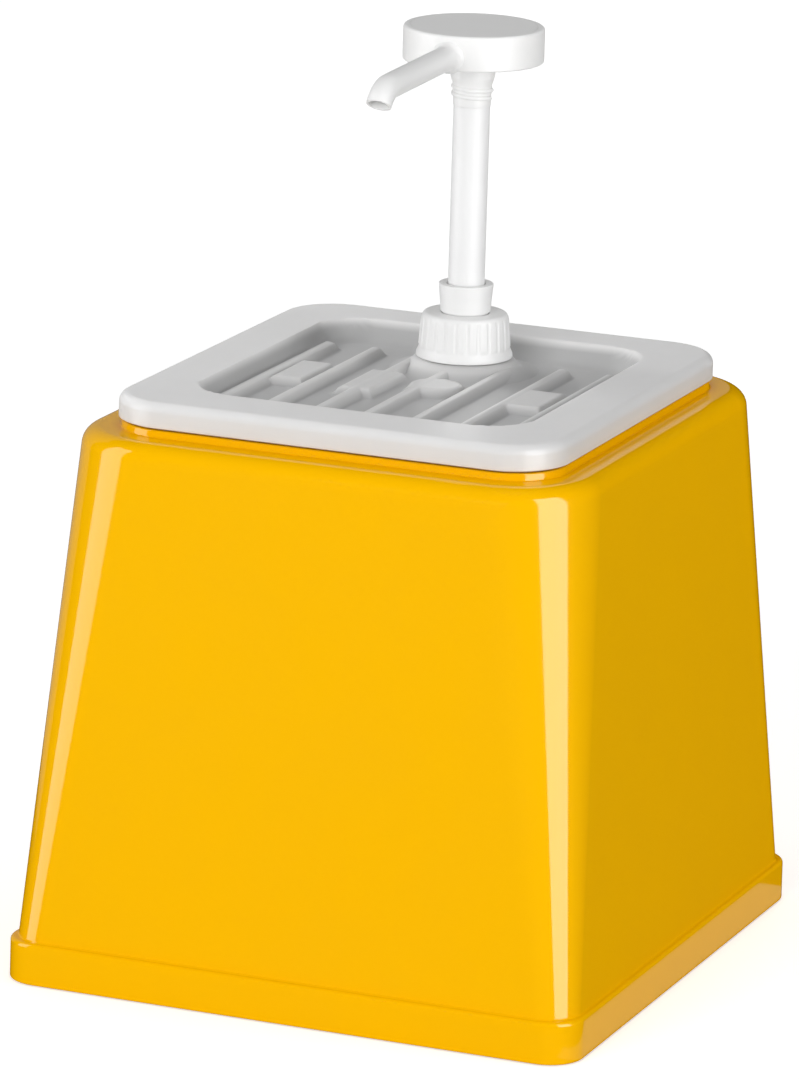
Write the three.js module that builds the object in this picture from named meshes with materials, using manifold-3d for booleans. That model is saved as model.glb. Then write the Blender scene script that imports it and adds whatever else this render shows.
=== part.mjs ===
// Countertop condiment pump dispenser.
// A tapered casing holds a drop-in food container. The container's lid carries a hand pump,
// which lifts sauce through a foot valve, a spring-loaded piston and a hollow stem to a spout.
// Millimetres. +Z is up, the spout points to -Y, and the origin is the middle of the footprint.

import * as THREE from 'three';
import { mergeVertices } from 'three/addons/utils/BufferGeometryUtils.js';
import Module from 'manifold-3d';

const wasm = await Module();
wasm.setup();

// Running gap left between pieces that touch in the real object
const GAP = 0.3;

// Casing: a hollow moulding, open below, with a step at its foot and a raised seat on top
const CASING_BASE_X = 217.86;
const CASING_BASE_Y = 232.94;
const CASING_TOP_X = 192.8;
const CASING_TOP_Y = 207.8;
const CASING_WALL = 2.6;
const BAND_HEIGHT = 15.3;
const BAND_OUTSTAND = 2.2;
const LEDGE_Z = 198.8;
const LEDGE_FILLET = 6;
const SEAT_Z = 201.4;
const SEAT_X = 166;
const SEAT_Y = 183.4;
const SEAT_CORNER = 20.5;
const OPENING_X = 142;
const OPENING_Y = 156;
const OPENING_LIP_Z = 192.5;
const CORNER_AT_BASE = 13.2;
const CORNER_AT_TOP = 32.6;

// Container: a sixth-size food pan with a turned-down rim
const PAN_RIM_X = 164.4;
const PAN_RIM_Y = 182;
const PAN_RIM_TOP = 209.6;
const PAN_RIM_CORNER = 19.6;
const PAN_RIM_EDGE = 3.2;
const PAN_MOUTH_X = 136;
const PAN_MOUTH_Y = 150;
const PAN_FLOOR_X = 114;
const PAN_FLOOR_Y = 128;
const PAN_FLOOR_Z = 61.5;
const PAN_WALL = 2;
const PAN_FILLET = 12;

// Lid: a sunken panel with ridges inside a flat rim with a skirt
const LID_X = 168.2;
const LID_Y = 185.8;
const LID_TOP = 211.35;
const LID_SKIRT_Z = 202.4;
const LID_SKIRT_WALL = 1.4;
const LID_WALL = 1.6;
const LID_CORNER = 21.6;
const LID_EDGE = 5;
const PANEL_Z = 203.7;
const PANEL_RIM_X = 130;
const PANEL_RIM_Y = 144;
const RIDGE_PITCH = 18.3;
const RIDGE_WIDTH = 9;
const RIDGE_HEIGHT = 3.2;
const RIDGE_FRONT = -60;
const RIDGE_BACK = 50;
const RIDGES_EACH_SIDE = 3;

// Pump: everything below turns about one upright axis
const PUMP_Y = 41.55;
const BOSS_FOOT_RADIUS = 25;
const BOSS_TOP_RADIUS = 17.4;
const BOSS_TOP = 208.6;
const NECK_RADIUS = 13.2;
const NECK_BORE = 11.4;
const NECK_TOP = 220.2;
const THREAD_LEAD = 4;
const THREAD_DEPTH = 0.8;
const THREAD_WIDTH = 1;
const THREAD_TURNS = 1.75;
const THREAD_START = 211.6;
const CAP_BOTTOM = 208.95;
const CAP_TOP = 225.07;
const CAP_PLATE = 1.65;
const CAP_BORE = 14.6;
const CAP_RING_RADIUS = 17.6;
const CAP_RING_HEIGHT = 3.4;
const CAP_FOOT_RADIUS = 16.55;
const CAP_TOP_RADIUS = 15.7;
const BARREL_RADIUS = 11;
const BARREL_BORE = 9.7;
const BARREL_BOTTOM = 96;
const FLANGE_RADIUS = 13.2;
const GASKET_THICKNESS = 1;
const CHAPLET_TOP = 235.83;
const STEM_RADIUS = 6.65;
const STEM_BORE = 4.2;
const STEM_BOTTOM = 205.9;
const COLLAR_BOTTOM = 301.3;
const HEAD_RADIUS = 25.51;
const HEAD_BOTTOM = 317.56;
const HEAD_TOP = 330.35;
const SPOUT_RADIUS = 4.55;
const SPOUT_BORE = 3.7;
const SPOUT_Z = 323.2;
const SPOUT_STRAIGHT = 79.5;
const SPOUT_DROP = 2.15;
const SPOUT_BEND_RADIUS = 12;
const SPOUT_TIP_DIP = 56;
const SPRING_RADIUS = 8.3;
const SPRING_WIRE = 1.4;
const SPRING_TURNS = 12;
const SPRING_CLEARANCE = 0.4;
const FOOT_CAGE_TOP = 102.5;
const RETAINER_BOTTOM = 200.3;
const PISTON_BOTTOM = 190;
const PISTON_TOP = 213.7;
const FOOT_BALL_RADIUS = 4.75;
const FOOT_BALL_Z = 92.15;
const DISCHARGE_BALL_RADIUS = 3.4;
const DISCHARGE_BALL_Z = 197.1;
const DIP_TUBE_BOTTOM = 65;

// Facets: round pieces, the small ones inside, and each quarter of a rounded corner
const ROUND = 24;
const SMALL_ROUND = 16;
const CORNER_STEPS = 6;

const YELLOW = 0xf5ba00;
const NATURAL = 0xd9d9d6;
const WHITE = 0xf2f2f0;
const GREY_RUBBER = 0x6f7275;
const STEEL = 0xb8bcc0;

const { degToRad, lerp } = THREE.MathUtils;

// ---------- solids ----------

// A closed solid from a three.js geometry, with its doubled points merged
function solid(geometry) {
  const bare = geometry.index ? geometry.clone() : geometry;
  bare.deleteAttribute('normal');
  bare.deleteAttribute('uv');
  const merged = mergeVertices(bare, 1e-4);
  const index = merged.index.array;
  const kept = [];
  for (let i = 0; i < index.length; i += 3) {
    const [a, b, c] = [index[i], index[i + 1], index[i + 2]];
    if (a !== b && b !== c && c !== a) {
      kept.push(a, b, c);
    }
  }
  const vertProperties = new Float32Array(merged.attributes.position.array);
  const triVerts = new Uint32Array(kept);
  return new wasm.Manifold(new wasm.Mesh({ numProp: 3, vertProperties, triVerts }));
}

function join(first, ...others) {
  return others.reduce((sum, other) => sum.add(other), first);
}

function cut(first, ...others) {
  return others.reduce((rest, other) => rest.subtract(other), first);
}

// A named mesh with a material of its own
function piece(name, shape, color, roughness = 0.4, metalness = 0) {
  const { vertProperties, triVerts } = shape.getMesh();
  const geometry = new THREE.BufferGeometry();
  geometry.setAttribute('position', new THREE.BufferAttribute(vertProperties, 3));
  geometry.setIndex(new THREE.BufferAttribute(triVerts, 1));
  geometry.computeVertexNormals();
  const mesh = new THREE.Mesh(geometry, new THREE.MeshStandardMaterial({ color, roughness, metalness }));
  mesh.name = name;
  return mesh;
}

// Turns a profile of [radius, height] points, listed up the outside and down the inside
function revolve(profile, segments = ROUND) {
  const points = profile.map(([radius, height]) => new THREE.Vector2(radius, height));
  return solid(new THREE.LatheGeometry(points, segments).rotateX(Math.PI / 2));
}

// The same for a hollow piece, whose profile closes on itself
function revolveRing(profile, segments = ROUND) {
  return revolve([...profile, profile[0]], segments);
}

function cylinder(radius, bottom, top, segments = ROUND) {
  return revolve([[0, bottom], [radius, bottom], [radius, top], [0, top]], segments);
}

function box(sizeX, sizeY, sizeZ, x, y, z) {
  return solid(new THREE.BoxGeometry(sizeX, sizeY, sizeZ).translate(x, y, z));
}

// One level of a rounded rectangle, for loft()
function level(sizeX, sizeY, corner, z) {
  const points = [];
  const quarters = [[1, 1], [-1, 1], [-1, -1], [1, -1]];
  quarters.forEach(([signX, signY], quarter) => {
    const centreX = signX * (sizeX / 2 - corner);
    const centreY = signY * (sizeY / 2 - corner);
    for (let step = 0; step <= CORNER_STEPS; step += 1) {
      const angle = (quarter + step / CORNER_STEPS) * (Math.PI / 2);
      points.push([centreX + corner * Math.cos(angle), centreY + corner * Math.sin(angle), z]);
    }
  });
  return points;
}

// Joins levels into one skin. A ring of levels closes on itself, and a stack is closed by end faces.
function loft(levels, isRing) {
  const count = levels[0].length;
  const positions = levels.flat(2);
  const index = [];
  const bands = isRing ? levels.length : levels.length - 1;
  for (let band = 0; band < bands; band += 1) {
    const low = band * count;
    const high = ((band + 1) % levels.length) * count;
    for (let i = 0; i < count; i += 1) {
      const next = (i + 1) % count;
      index.push(low + i, low + next, high + next, low + i, high + next, high + i);
    }
  }
  if (!isRing) {
    const last = (levels.length - 1) * count;
    for (let i = 1; i < count - 1; i += 1) {
      index.push(0, i + 1, i, last, last + i, last + i + 1);
    }
  }
  const geometry = new THREE.BufferGeometry();
  geometry.setAttribute('position', new THREE.Float32BufferAttribute(positions, 3));
  geometry.setIndex(index);
  return solid(geometry);
}

// The levels of a quarter-round from an upright side to a flat top, starting at its foot
function roundedTop(sizeX, sizeY, corner, top, radius) {
  const steps = 4;
  const levels = [];
  for (let step = 0; step <= steps; step += 1) {
    const angle = (step / steps) * (Math.PI / 2);
    const inset = radius * (1 - Math.cos(angle));
    const z = top - radius * (1 - Math.sin(angle));
    levels.push(level(sizeX - 2 * inset, sizeY - 2 * inset, corner - inset, z));
  }
  return levels;
}

// An upright helix
class Helix extends THREE.Curve {
  constructor(radius, bottom, top, turns) {
    super();
    Object.assign(this, { radius, bottom, top, turns });
  }

  getPoint(t, target = new THREE.Vector3()) {
    const angle = t * this.turns * 2 * Math.PI;
    const height = lerp(this.bottom, this.top, t);
    return target.set(this.radius * Math.cos(angle), this.radius * Math.sin(angle), height);
  }
}

function circleShape(radius, sides) {
  const points = [];
  for (let i = 0; i < sides; i += 1) {
    const angle = (i / sides) * 2 * Math.PI;
    points.push(new THREE.Vector2(radius * Math.cos(angle), radius * Math.sin(angle)));
  }
  return new THREE.Shape(points);
}

function sweep(radius, curve, steps, sides) {
  const options = { steps, extrudePath: curve, bevelEnabled: false };
  return solid(new THREE.ExtrudeGeometry(circleShape(radius, sides), options));
}

// A screw thread: a four-sided rib wound on a cylinder
function thread(radius, bottom, turns, lead) {
  const stepsPerTurn = 20;
  const curve = new Helix(radius, bottom, bottom + turns * lead, turns);
  return sweep(THREAD_WIDTH / 2, curve, Math.round(turns * stepsPerTurn), 4);
}

// ---------- casing ----------

// The tapered wall at a height, set in from its outer face. Its corners are rounder higher up.
function wallLevel(z, inset) {
  const share = (z - BAND_HEIGHT) / (LEDGE_Z - BAND_HEIGHT);
  const corner = lerp(CORNER_AT_BASE, CORNER_AT_TOP, share);
  const sizeX = lerp(CASING_BASE_X - 2 * BAND_OUTSTAND, CASING_TOP_X, share);
  const sizeY = lerp(CASING_BASE_Y - 2 * BAND_OUTSTAND, CASING_TOP_Y, share);
  return level(sizeX - 2 * inset, sizeY - 2 * inset, corner - inset, z);
}

function bandLevel(z, inset) {
  return level(CASING_BASE_X - 2 * inset, CASING_BASE_Y - 2 * inset, CORNER_AT_BASE - inset, z);
}

// A quarter-round from the wall to the ledge, offset inwards by a wall thickness
function ledgeFillet(thickness, steps) {
  const radius = LEDGE_FILLET - thickness;
  const levels = [];
  for (let step = 0; step <= steps; step += 1) {
    const angle = (step / steps) * (Math.PI / 2);
    const inset = LEDGE_FILLET - radius * Math.cos(angle);
    levels.push(wallLevel(LEDGE_Z - LEDGE_FILLET + radius * Math.sin(angle), inset));
  }
  return levels;
}

function makeCasing() {
  const edge = 0.4;
  const foot = 0.8;
  const openingCorner = 19;
  const lipWall = 2;
  const outside = [
    bandLevel(0, foot),
    bandLevel(foot, 0),
    bandLevel(BAND_HEIGHT - foot, 0.2),
    bandLevel(BAND_HEIGHT, foot),
    wallLevel(BAND_HEIGHT + edge, 0),
    ...ledgeFillet(0, 4),
    level(SEAT_X + 2 * edge, SEAT_Y + 2 * edge, SEAT_CORNER, LEDGE_Z),
    level(SEAT_X, SEAT_Y, SEAT_CORNER, SEAT_Z - edge),
    level(SEAT_X - 2 * edge, SEAT_Y - 2 * edge, SEAT_CORNER, SEAT_Z),
    level(OPENING_X + 2 * edge, OPENING_Y + 2 * edge, openingCorner, SEAT_Z),
    level(OPENING_X, OPENING_Y, openingCorner, SEAT_Z - edge),
  ];
  const inside = [
    level(OPENING_X, OPENING_Y, openingCorner, OPENING_LIP_Z),
    level(OPENING_X + 2 * lipWall, OPENING_Y + 2 * lipWall, openingCorner, OPENING_LIP_Z),
    level(OPENING_X + 2 * lipWall, OPENING_Y + 2 * lipWall, openingCorner, SEAT_Z - CASING_WALL),
    level(SEAT_X - 2 * CASING_WALL, SEAT_Y - 2 * CASING_WALL, SEAT_CORNER, SEAT_Z - CASING_WALL),
    level(SEAT_X - 2 * lipWall, SEAT_Y - 2 * lipWall, SEAT_CORNER, LEDGE_Z - CASING_WALL),
    ...ledgeFillet(CASING_WALL, 3).reverse(),
    wallLevel(BAND_HEIGHT + edge, CASING_WALL),
    bandLevel(BAND_HEIGHT - CASING_WALL, CASING_WALL),
    bandLevel(0, CASING_WALL),
  ];
  return loft([...outside, ...inside], true);
}

// ---------- container ----------

function panFillet(sizeX, sizeY, corner, floorZ, radius, steps) {
  const levels = [];
  for (let step = 0; step <= steps; step += 1) {
    const angle = (step / steps) * (Math.PI / 2);
    const inset = radius * (1 - Math.sin(angle));
    const z = floorZ + radius * (1 - Math.cos(angle));
    levels.push(level(sizeX - 2 * inset, sizeY - 2 * inset, corner - inset, z));
  }
  return levels;
}

function makeContainer() {
  const wall = PAN_WALL;
  const mouthCorner = 17;
  const floorCorner = 15;
  const rimBottom = SEAT_Z + GAP;
  const insideX = PAN_RIM_X - 2 * wall;
  const insideY = PAN_RIM_Y - 2 * wall;
  const insideCorner = PAN_RIM_CORNER - wall;
  const outside = [
    ...panFillet(PAN_FLOOR_X + 2 * wall, PAN_FLOOR_Y + 2 * wall, floorCorner + wall,
      PAN_FLOOR_Z - wall, PAN_FILLET + wall, 3),
    level(PAN_MOUTH_X + 2 * wall, PAN_MOUTH_Y + 2 * wall, mouthCorner + wall, PAN_RIM_TOP - wall),
    ...roundedTop(insideX, insideY, insideCorner, PAN_RIM_TOP - wall, PAN_RIM_EDGE - wall).reverse(),
    level(insideX, insideY, insideCorner, rimBottom),
    level(PAN_RIM_X, PAN_RIM_Y, PAN_RIM_CORNER, rimBottom),
    ...roundedTop(PAN_RIM_X, PAN_RIM_Y, PAN_RIM_CORNER, PAN_RIM_TOP, PAN_RIM_EDGE),
  ];
  const inside = [
    level(PAN_MOUTH_X + 1, PAN_MOUTH_Y + 1, mouthCorner, PAN_RIM_TOP),
    level(PAN_MOUTH_X, PAN_MOUTH_Y, mouthCorner, PAN_RIM_TOP - 0.6),
    ...panFillet(PAN_FLOOR_X, PAN_FLOOR_Y, floorCorner, PAN_FLOOR_Z, PAN_FILLET, 3).reverse(),
  ];
  return loft([...outside, ...inside], false);
}

// ---------- lid ----------

function makeLidShell() {
  const rimCorner = 20;
  const wall = LID_WALL;
  const skirtX = LID_X - 2 * LID_SKIRT_WALL;
  const skirtY = LID_Y - 2 * LID_SKIRT_WALL;
  const skirtCorner = LID_CORNER - LID_SKIRT_WALL;
  const underRim = LID_TOP - LID_SKIRT_WALL;
  const underside = [
    level(PANEL_RIM_X - 7, PANEL_RIM_Y - 7, rimCorner - 3, PANEL_Z - wall),
    level(PANEL_RIM_X - 3.5, PANEL_RIM_Y - 3.5, rimCorner - 1, PANEL_Z),
    level(PANEL_RIM_X, PANEL_RIM_Y, rimCorner + 1, underRim - 1.5),
    level(PANEL_RIM_X + 3, PANEL_RIM_Y + 3, rimCorner, underRim),
    ...roundedTop(skirtX, skirtY, skirtCorner, underRim, LID_EDGE - LID_SKIRT_WALL).reverse(),
    level(skirtX, skirtY, skirtCorner, LID_SKIRT_Z),
  ];
  const topside = [
    level(LID_X, LID_Y, LID_CORNER, LID_SKIRT_Z),
    ...roundedTop(LID_X, LID_Y, LID_CORNER, LID_TOP, LID_EDGE),
    level(PANEL_RIM_X, PANEL_RIM_Y, rimCorner, LID_TOP),
    level(PANEL_RIM_X - 3.6, PANEL_RIM_Y - 3.6, rimCorner - 1.8, LID_TOP - 1.8),
    level(PANEL_RIM_X - 5.4, PANEL_RIM_Y - 5.4, rimCorner - 2.7, PANEL_Z + 1.6),
    level(PANEL_RIM_X - 8, PANEL_RIM_Y - 8, rimCorner - 4, PANEL_Z),
  ];
  return loft([...underside, ...topside], false);
}

// A bar with sloping sides, standing on the sunken panel
function raisedBar(width, length, x, y) {
  const slope = 1;
  const buried = 0.5;
  const bottom = PANEL_Z - buried;
  return loft([
    level(width, length, 2, bottom),
    level(width - 2 * slope, length - 2 * slope, 2, PANEL_Z + RIDGE_HEIGHT),
  ], false).translate([x, y, 0]);
}

function makeLid() {
  const ridgeLength = RIDGE_BACK - RIDGE_FRONT;
  const ridgeMiddle = (RIDGE_BACK + RIDGE_FRONT) / 2;
  const ridges = [];
  for (let i = -RIDGES_EACH_SIDE; i <= RIDGES_EACH_SIDE; i += 1) {
    ridges.push(raisedBar(RIDGE_WIDTH, ridgeLength, i * RIDGE_PITCH, ridgeMiddle));
  }
  const pads = [
    raisedBar(17, 35, -46.5, 0.5),
    raisedBar(17.5, 37, -18.7, -1.5),
    raisedBar(19.5, 32, 44.2, -2),
  ];
  const pump = (shape) => shape.translate([0, PUMP_Y, 0]);
  const boss = revolve([
    [0, PANEL_Z - 0.5],
    [BOSS_FOOT_RADIUS, PANEL_Z - 0.5],
    [BOSS_FOOT_RADIUS, PANEL_Z],
    [BOSS_TOP_RADIUS + 1.5, PANEL_Z + 1.8],
    [BOSS_TOP_RADIUS, BOSS_TOP - 0.6],
    [BOSS_TOP_RADIUS - 0.6, BOSS_TOP],
    [NECK_RADIUS, BOSS_TOP],
    [NECK_RADIUS, NECK_TOP - 0.4],
    [NECK_RADIUS - 0.4, NECK_TOP],
    [0, NECK_TOP],
  ]);
  const neckThread = thread(NECK_RADIUS + THREAD_DEPTH - THREAD_WIDTH / 2, THREAD_START, THREAD_TURNS, THREAD_LEAD);
  const bore = cylinder(NECK_BORE, PANEL_Z - 10, NECK_TOP + 5);
  const body = join(makeLidShell(), ...ridges, ...pads, pump(boss), pump(neckThread));
  return cut(body, pump(bore));
}

// ---------- pump ----------

function makeScrewCap() {
  const plateZ = CAP_TOP - CAP_PLATE;
  const hole = 8.75;
  const body = revolveRing([
    [CAP_BORE, CAP_BOTTOM],
    [CAP_RING_RADIUS - 0.5, CAP_BOTTOM],
    [CAP_RING_RADIUS, CAP_BOTTOM + 0.5],
    [CAP_RING_RADIUS, CAP_BOTTOM + CAP_RING_HEIGHT - 0.6],
    [CAP_FOOT_RADIUS, CAP_BOTTOM + CAP_RING_HEIGHT],
    [CAP_TOP_RADIUS, CAP_TOP - 2],
    [CAP_TOP_RADIUS - 0.6, CAP_TOP - 0.6],
    [CAP_TOP_RADIUS - 2, CAP_TOP],
    [hole, CAP_TOP],
    [hole, plateZ],
    [CAP_BORE, plateZ],
  ]);
  const ribRadius = CAP_BORE - THREAD_DEPTH + THREAD_WIDTH / 2;
  const rib = thread(ribRadius, THREAD_START - THREAD_LEAD / 2, THREAD_TURNS, THREAD_LEAD);
  return join(body, rib);
}

const FLANGE_BOTTOM = NECK_TOP + GASKET_THICKNESS + 2 * GAP;
const FLANGE_TOP = CAP_TOP - CAP_PLATE - GAP;

function makeGasket() {
  const bottom = NECK_TOP + GAP;
  const top = bottom + GASKET_THICKNESS;
  const inner = NECK_BORE;
  const outer = FLANGE_RADIUS - 0.2;
  return revolveRing([[inner, bottom], [outer, bottom], [outer, top], [inner, top]]);
}

function makeBarrel() {
  const snapRing = 8.75;
  const snapRingBottom = 219.5;
  return revolveRing([
    [BARREL_RADIUS, BARREL_BOTTOM],
    [BARREL_RADIUS, FLANGE_BOTTOM],
    [FLANGE_RADIUS, FLANGE_BOTTOM],
    [FLANGE_RADIUS, FLANGE_TOP],
    [snapRing, FLANGE_TOP],
    [snapRing, snapRingBottom],
    [BARREL_BORE, snapRingBottom - 0.6],
    [BARREL_BORE, BARREL_BOTTOM],
  ]);
}

function makeChaplet() {
  const sleeve = 8.4;
  const bore = 7;
  const bottom = PISTON_TOP + GAP;
  const shoulder = CAP_TOP + GAP;
  return revolveRing([
    [sleeve, bottom],
    [sleeve, 217.6],
    [9.1, 217.9],
    [sleeve, 219.1],
    [sleeve, shoulder],
    [9.05, shoulder],
    [9.95, CHAPLET_TOP - 0.5],
    [9.5, CHAPLET_TOP],
    [8.7, CHAPLET_TOP],
    [8.5, CHAPLET_TOP - 0.4],
    [8.5, 229.8],
    [7.6, 229.8],
    [7.6, 228.5],
    [8.3, 228.5],
    [8.3, 226.2],
    [bore, 226.2],
    [bore, bottom],
  ]);
}

function makeWiper() {
  return revolveRing([[6.95, 226.5], [8, 226.5], [8, 227.9], [7.5, 228.2], [6.95, 227.9]]);
}

function makeStem() {
  const spigot = 5.2;
  const spigotTop = 314;
  const shoulder = COLLAR_BOTTOM - GAP;
  return revolveRing([
    [STEM_RADIUS, STEM_BOTTOM],
    [STEM_RADIUS, shoulder],
    [spigot, shoulder],
    [spigot, spigotTop],
    [STEM_BORE, spigotTop],
    [STEM_BORE, STEM_BOTTOM],
  ]);
}

// Rings of points along the spout's centre line, which runs almost level from the pump axis
// and turns down at the tip. The last ring lies past the tip by the given overrun.
function spoutTube(radius, startY, overrun) {
  const sides = 12;
  const bendSteps = 6;
  const slope = Math.atan2(SPOUT_DROP, SPOUT_STRAIGHT);
  const dip = degToRad(SPOUT_TIP_DIP);
  const bendY = -SPOUT_STRAIGHT;
  const bendZ = SPOUT_Z - SPOUT_DROP;
  const stations = [{ y: startY, z: SPOUT_Z + startY * Math.tan(slope), angle: slope }];
  for (let step = 0; step <= bendSteps; step += 1) {
    const angle = lerp(slope, dip, step / bendSteps);
    const along = SPOUT_BEND_RADIUS * (Math.sin(angle) - Math.sin(slope));
    const down = SPOUT_BEND_RADIUS * (Math.cos(slope) - Math.cos(angle));
    stations.push({ y: bendY - along, z: bendZ - down, angle });
  }
  const tip = stations.at(-1);
  tip.y -= overrun * Math.cos(dip);
  tip.z -= overrun * Math.sin(dip);
  const rings = stations.map(({ y, z, angle }) => {
    const ring = [];
    for (let i = 0; i < sides; i += 1) {
      const turn = ((i + 0.5) / sides) * 2 * Math.PI;
      const across = radius * Math.cos(turn);
      const up = radius * Math.sin(turn);
      ring.push([across, y - up * Math.sin(angle), z + up * Math.cos(angle)]);
    }
    return ring;
  });
  return loft(rings, false);
}

function makeHead() {
  const floorTop = HEAD_BOTTOM + 1.8;
  const coverSeat = HEAD_TOP - 2;
  const body = revolve([
    [0, COLLAR_BOTTOM],
    [6.8, COLLAR_BOTTOM],
    [7, 309],
    [8.1, 312],
    [8.1, 315.8],
    [8.9, 317],
    [10.5, HEAD_BOTTOM],
    [HEAD_RADIUS - 0.8, HEAD_BOTTOM],
    [HEAD_RADIUS, HEAD_BOTTOM + 0.8],
    [HEAD_RADIUS, HEAD_TOP - 2.4],
    [HEAD_RADIUS - 0.7, HEAD_TOP - 0.7],
    [HEAD_RADIUS - 2.3, HEAD_TOP],
    [23.2, coverSeat],
    [22.3, coverSeat],
    [22.3, floorTop],
    [8.2, floorTop],
    [8.2, HEAD_TOP - 3],
    [0, HEAD_TOP - 3],
  ], 32);
  const lockThread = thread(6.9, 303.6, 2, 3.4);
  const spout = spoutTube(SPOUT_RADIUS, -3, 0);
  const channel = spoutTube(SPOUT_BORE, -1, 2);
  const socket = cylinder(5.5, COLLAR_BOTTOM - 5, 314 + GAP);
  const riser = cylinder(STEM_BORE, COLLAR_BOTTOM - 5, SPOUT_Z + 2.6);
  return cut(join(body, lockThread, spout), socket, riser, channel);
}

function makeHeadCover() {
  const underside = HEAD_TOP - 2 + GAP;
  const top = HEAD_TOP - 0.1;
  const notchForSpout = box(11, 12, 4, 0, -21, underside - 2);
  const disc = revolve([
    [0, underside],
    [20.3, underside],
    [20.3, underside - 2.6],
    [21.6, underside - 2.6],
    [21.9, underside - 1.8],
    [21.6, underside],
    [22.9, underside],
    [22.9, top - 0.2],
    [22.7, top],
    [0, top],
  ], 32);
  return cut(disc, notchForSpout);
}

function makePistonBody() {
  const seat = 2.4;
  const chamber = 4.2;
  const socket = 6.95;
  return revolveRing([
    [6.3, PISTON_BOTTOM],
    [6.3, 200],
    [7, 200],
    [7, 203],
    [8.2, 203],
    [8.2, 211.7],
    [9.3, 211.7],
    [9.3, PISTON_TOP],
    [socket, PISTON_TOP],
    [socket, STEM_BOTTOM - GAP],
    [5.4, STEM_BOTTOM - GAP],
    [5.4, 203.7],
    [chamber, 203.7],
    [chamber, 197],
    [seat, 194],
    [seat, PISTON_BOTTOM],
  ]);
}

function makePistonSeal() {
  return revolveRing([
    [8.5, 204.2],
    [9, 203.3],
    [9.45, 203.3],
    [9.2, 205],
    [9.2, 209.6],
    [9.45, 211.4],
    [9, 211.4],
    [8.5, 210.6],
  ]);
}

function makePistonRetainer() {
  const bottom = RETAINER_BOTTOM;
  const top = bottom + 2.7;
  return revolveRing([[7.3, bottom], [9.2, bottom], [9.2, top - 0.6], [8.9, top], [7.3, top]]);
}

// A drilled disc that stops a ball without closing the way past it
function makeBallCage(radius, bottom, top, holeRadius, holeCircle) {
  let disc = cylinder(radius, bottom, top, SMALL_ROUND);
  for (let i = 0; i < 4; i += 1) {
    const angle = (i + 0.5) * (Math.PI / 2);
    const hole = cylinder(holeRadius, bottom - 1, top + 1, 8);
    disc = cut(disc, hole.translate([holeCircle * Math.cos(angle), holeCircle * Math.sin(angle), 0]));
  }
  return disc;
}

function makeBall(radius, z) {
  return solid(new THREE.SphereGeometry(radius, 16, 10).rotateX(Math.PI / 2).translate(0, 0, z));
}

function makeSpring() {
  const bottom = FOOT_CAGE_TOP + SPRING_CLEARANCE + SPRING_WIRE / 2;
  const top = RETAINER_BOTTOM - SPRING_CLEARANCE - SPRING_WIRE / 2;
  return sweep(SPRING_WIRE / 2, new Helix(SPRING_RADIUS, bottom, top, SPRING_TURNS), SPRING_TURNS * 10, 5);
}

function makeFootValveBody() {
  return revolveRing([
    [5.9, 72],
    [6.2, 84],
    [BARREL_RADIUS, 92],
    [BARREL_RADIUS, BARREL_BOTTOM - GAP],
    [BARREL_BORE - GAP, BARREL_BOTTOM - GAP],
    [BARREL_BORE - GAP, 101],
    [6, 101],
    [6, 92],
    [3.2, 88],
    [3.2, 84],
    [4.7, 84],
    [4.7, 72],
  ]);
}

function makeDipTube() {
  const tube = revolveRing([[4.4, DIP_TUBE_BOTTOM], [4.4, 84 - GAP], [3.2, 84 - GAP], [3.2, DIP_TUBE_BOTTOM]]);
  const slant = new THREE.BoxGeometry(20, 20, 10).translate(0, 0, -5);
  slant.rotateX(degToRad(30)).translate(0, 0, DIP_TUBE_BOTTOM + 2.5);
  return cut(tube, solid(slant));
}

// ---------- the whole object ----------

const dispenser = new THREE.Group();
dispenser.add(
  piece('casing_shell', makeCasing(), YELLOW, 0.18),
  piece('food_container', makeContainer(), NATURAL, 0.35),
  piece('lid', makeLid(), NATURAL, 0.35),
);

const pump = new THREE.Group();
pump.position.y = PUMP_Y;
pump.add(
  piece('screw_cap', makeScrewCap(), WHITE),
  piece('neck_gasket', makeGasket(), GREY_RUBBER, 0.8),
  piece('pump_barrel', makeBarrel(), WHITE),
  piece('chaplet', makeChaplet(), WHITE),
  piece('stem_wiper', makeWiper(), GREY_RUBBER, 0.8),
  piece('stem', makeStem(), WHITE),
  piece('pump_head', makeHead(), WHITE),
  piece('head_cover', makeHeadCover(), WHITE),
  piece('piston_body', makePistonBody(), WHITE),
  piece('piston_seal', makePistonSeal(), GREY_RUBBER, 0.8),
  piece('piston_retainer', makePistonRetainer(), WHITE),
  piece('discharge_ball_cage', makeBallCage(5.1, 204, 205.3, 1.1, 3.2), WHITE),
  piece('discharge_ball', makeBall(DISCHARGE_BALL_RADIUS, DISCHARGE_BALL_Z), STEEL, 0.15, 1),
  piece('return_spring', makeSpring(), STEEL, 0.3, 1),
  piece('foot_ball_cage', makeBallCage(9.3, FOOT_CAGE_TOP - 1.2, FOOT_CAGE_TOP, 1.9, 5), WHITE),
  piece('foot_ball', makeBall(FOOT_BALL_RADIUS, FOOT_BALL_Z), STEEL, 0.15, 1),
  piece('foot_valve_body', makeFootValveBody(), WHITE),
  piece('dip_tube', makeDipTube(), NATURAL),
);
dispenser.add(pump);

export default dispenser;
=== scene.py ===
"""A countertop condiment pump dispenser: a glossy yellow casing, a drop-in food container with a
ridged lid, and a white hand pump with a round head. Lengths in the sections below are in
millimetres, and the mesh helpers turn them into metres."""

from math import atan2, cos, hypot, pi, radians, sin, tan

import bmesh
import bpy
from mathutils import Matrix, Vector


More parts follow.
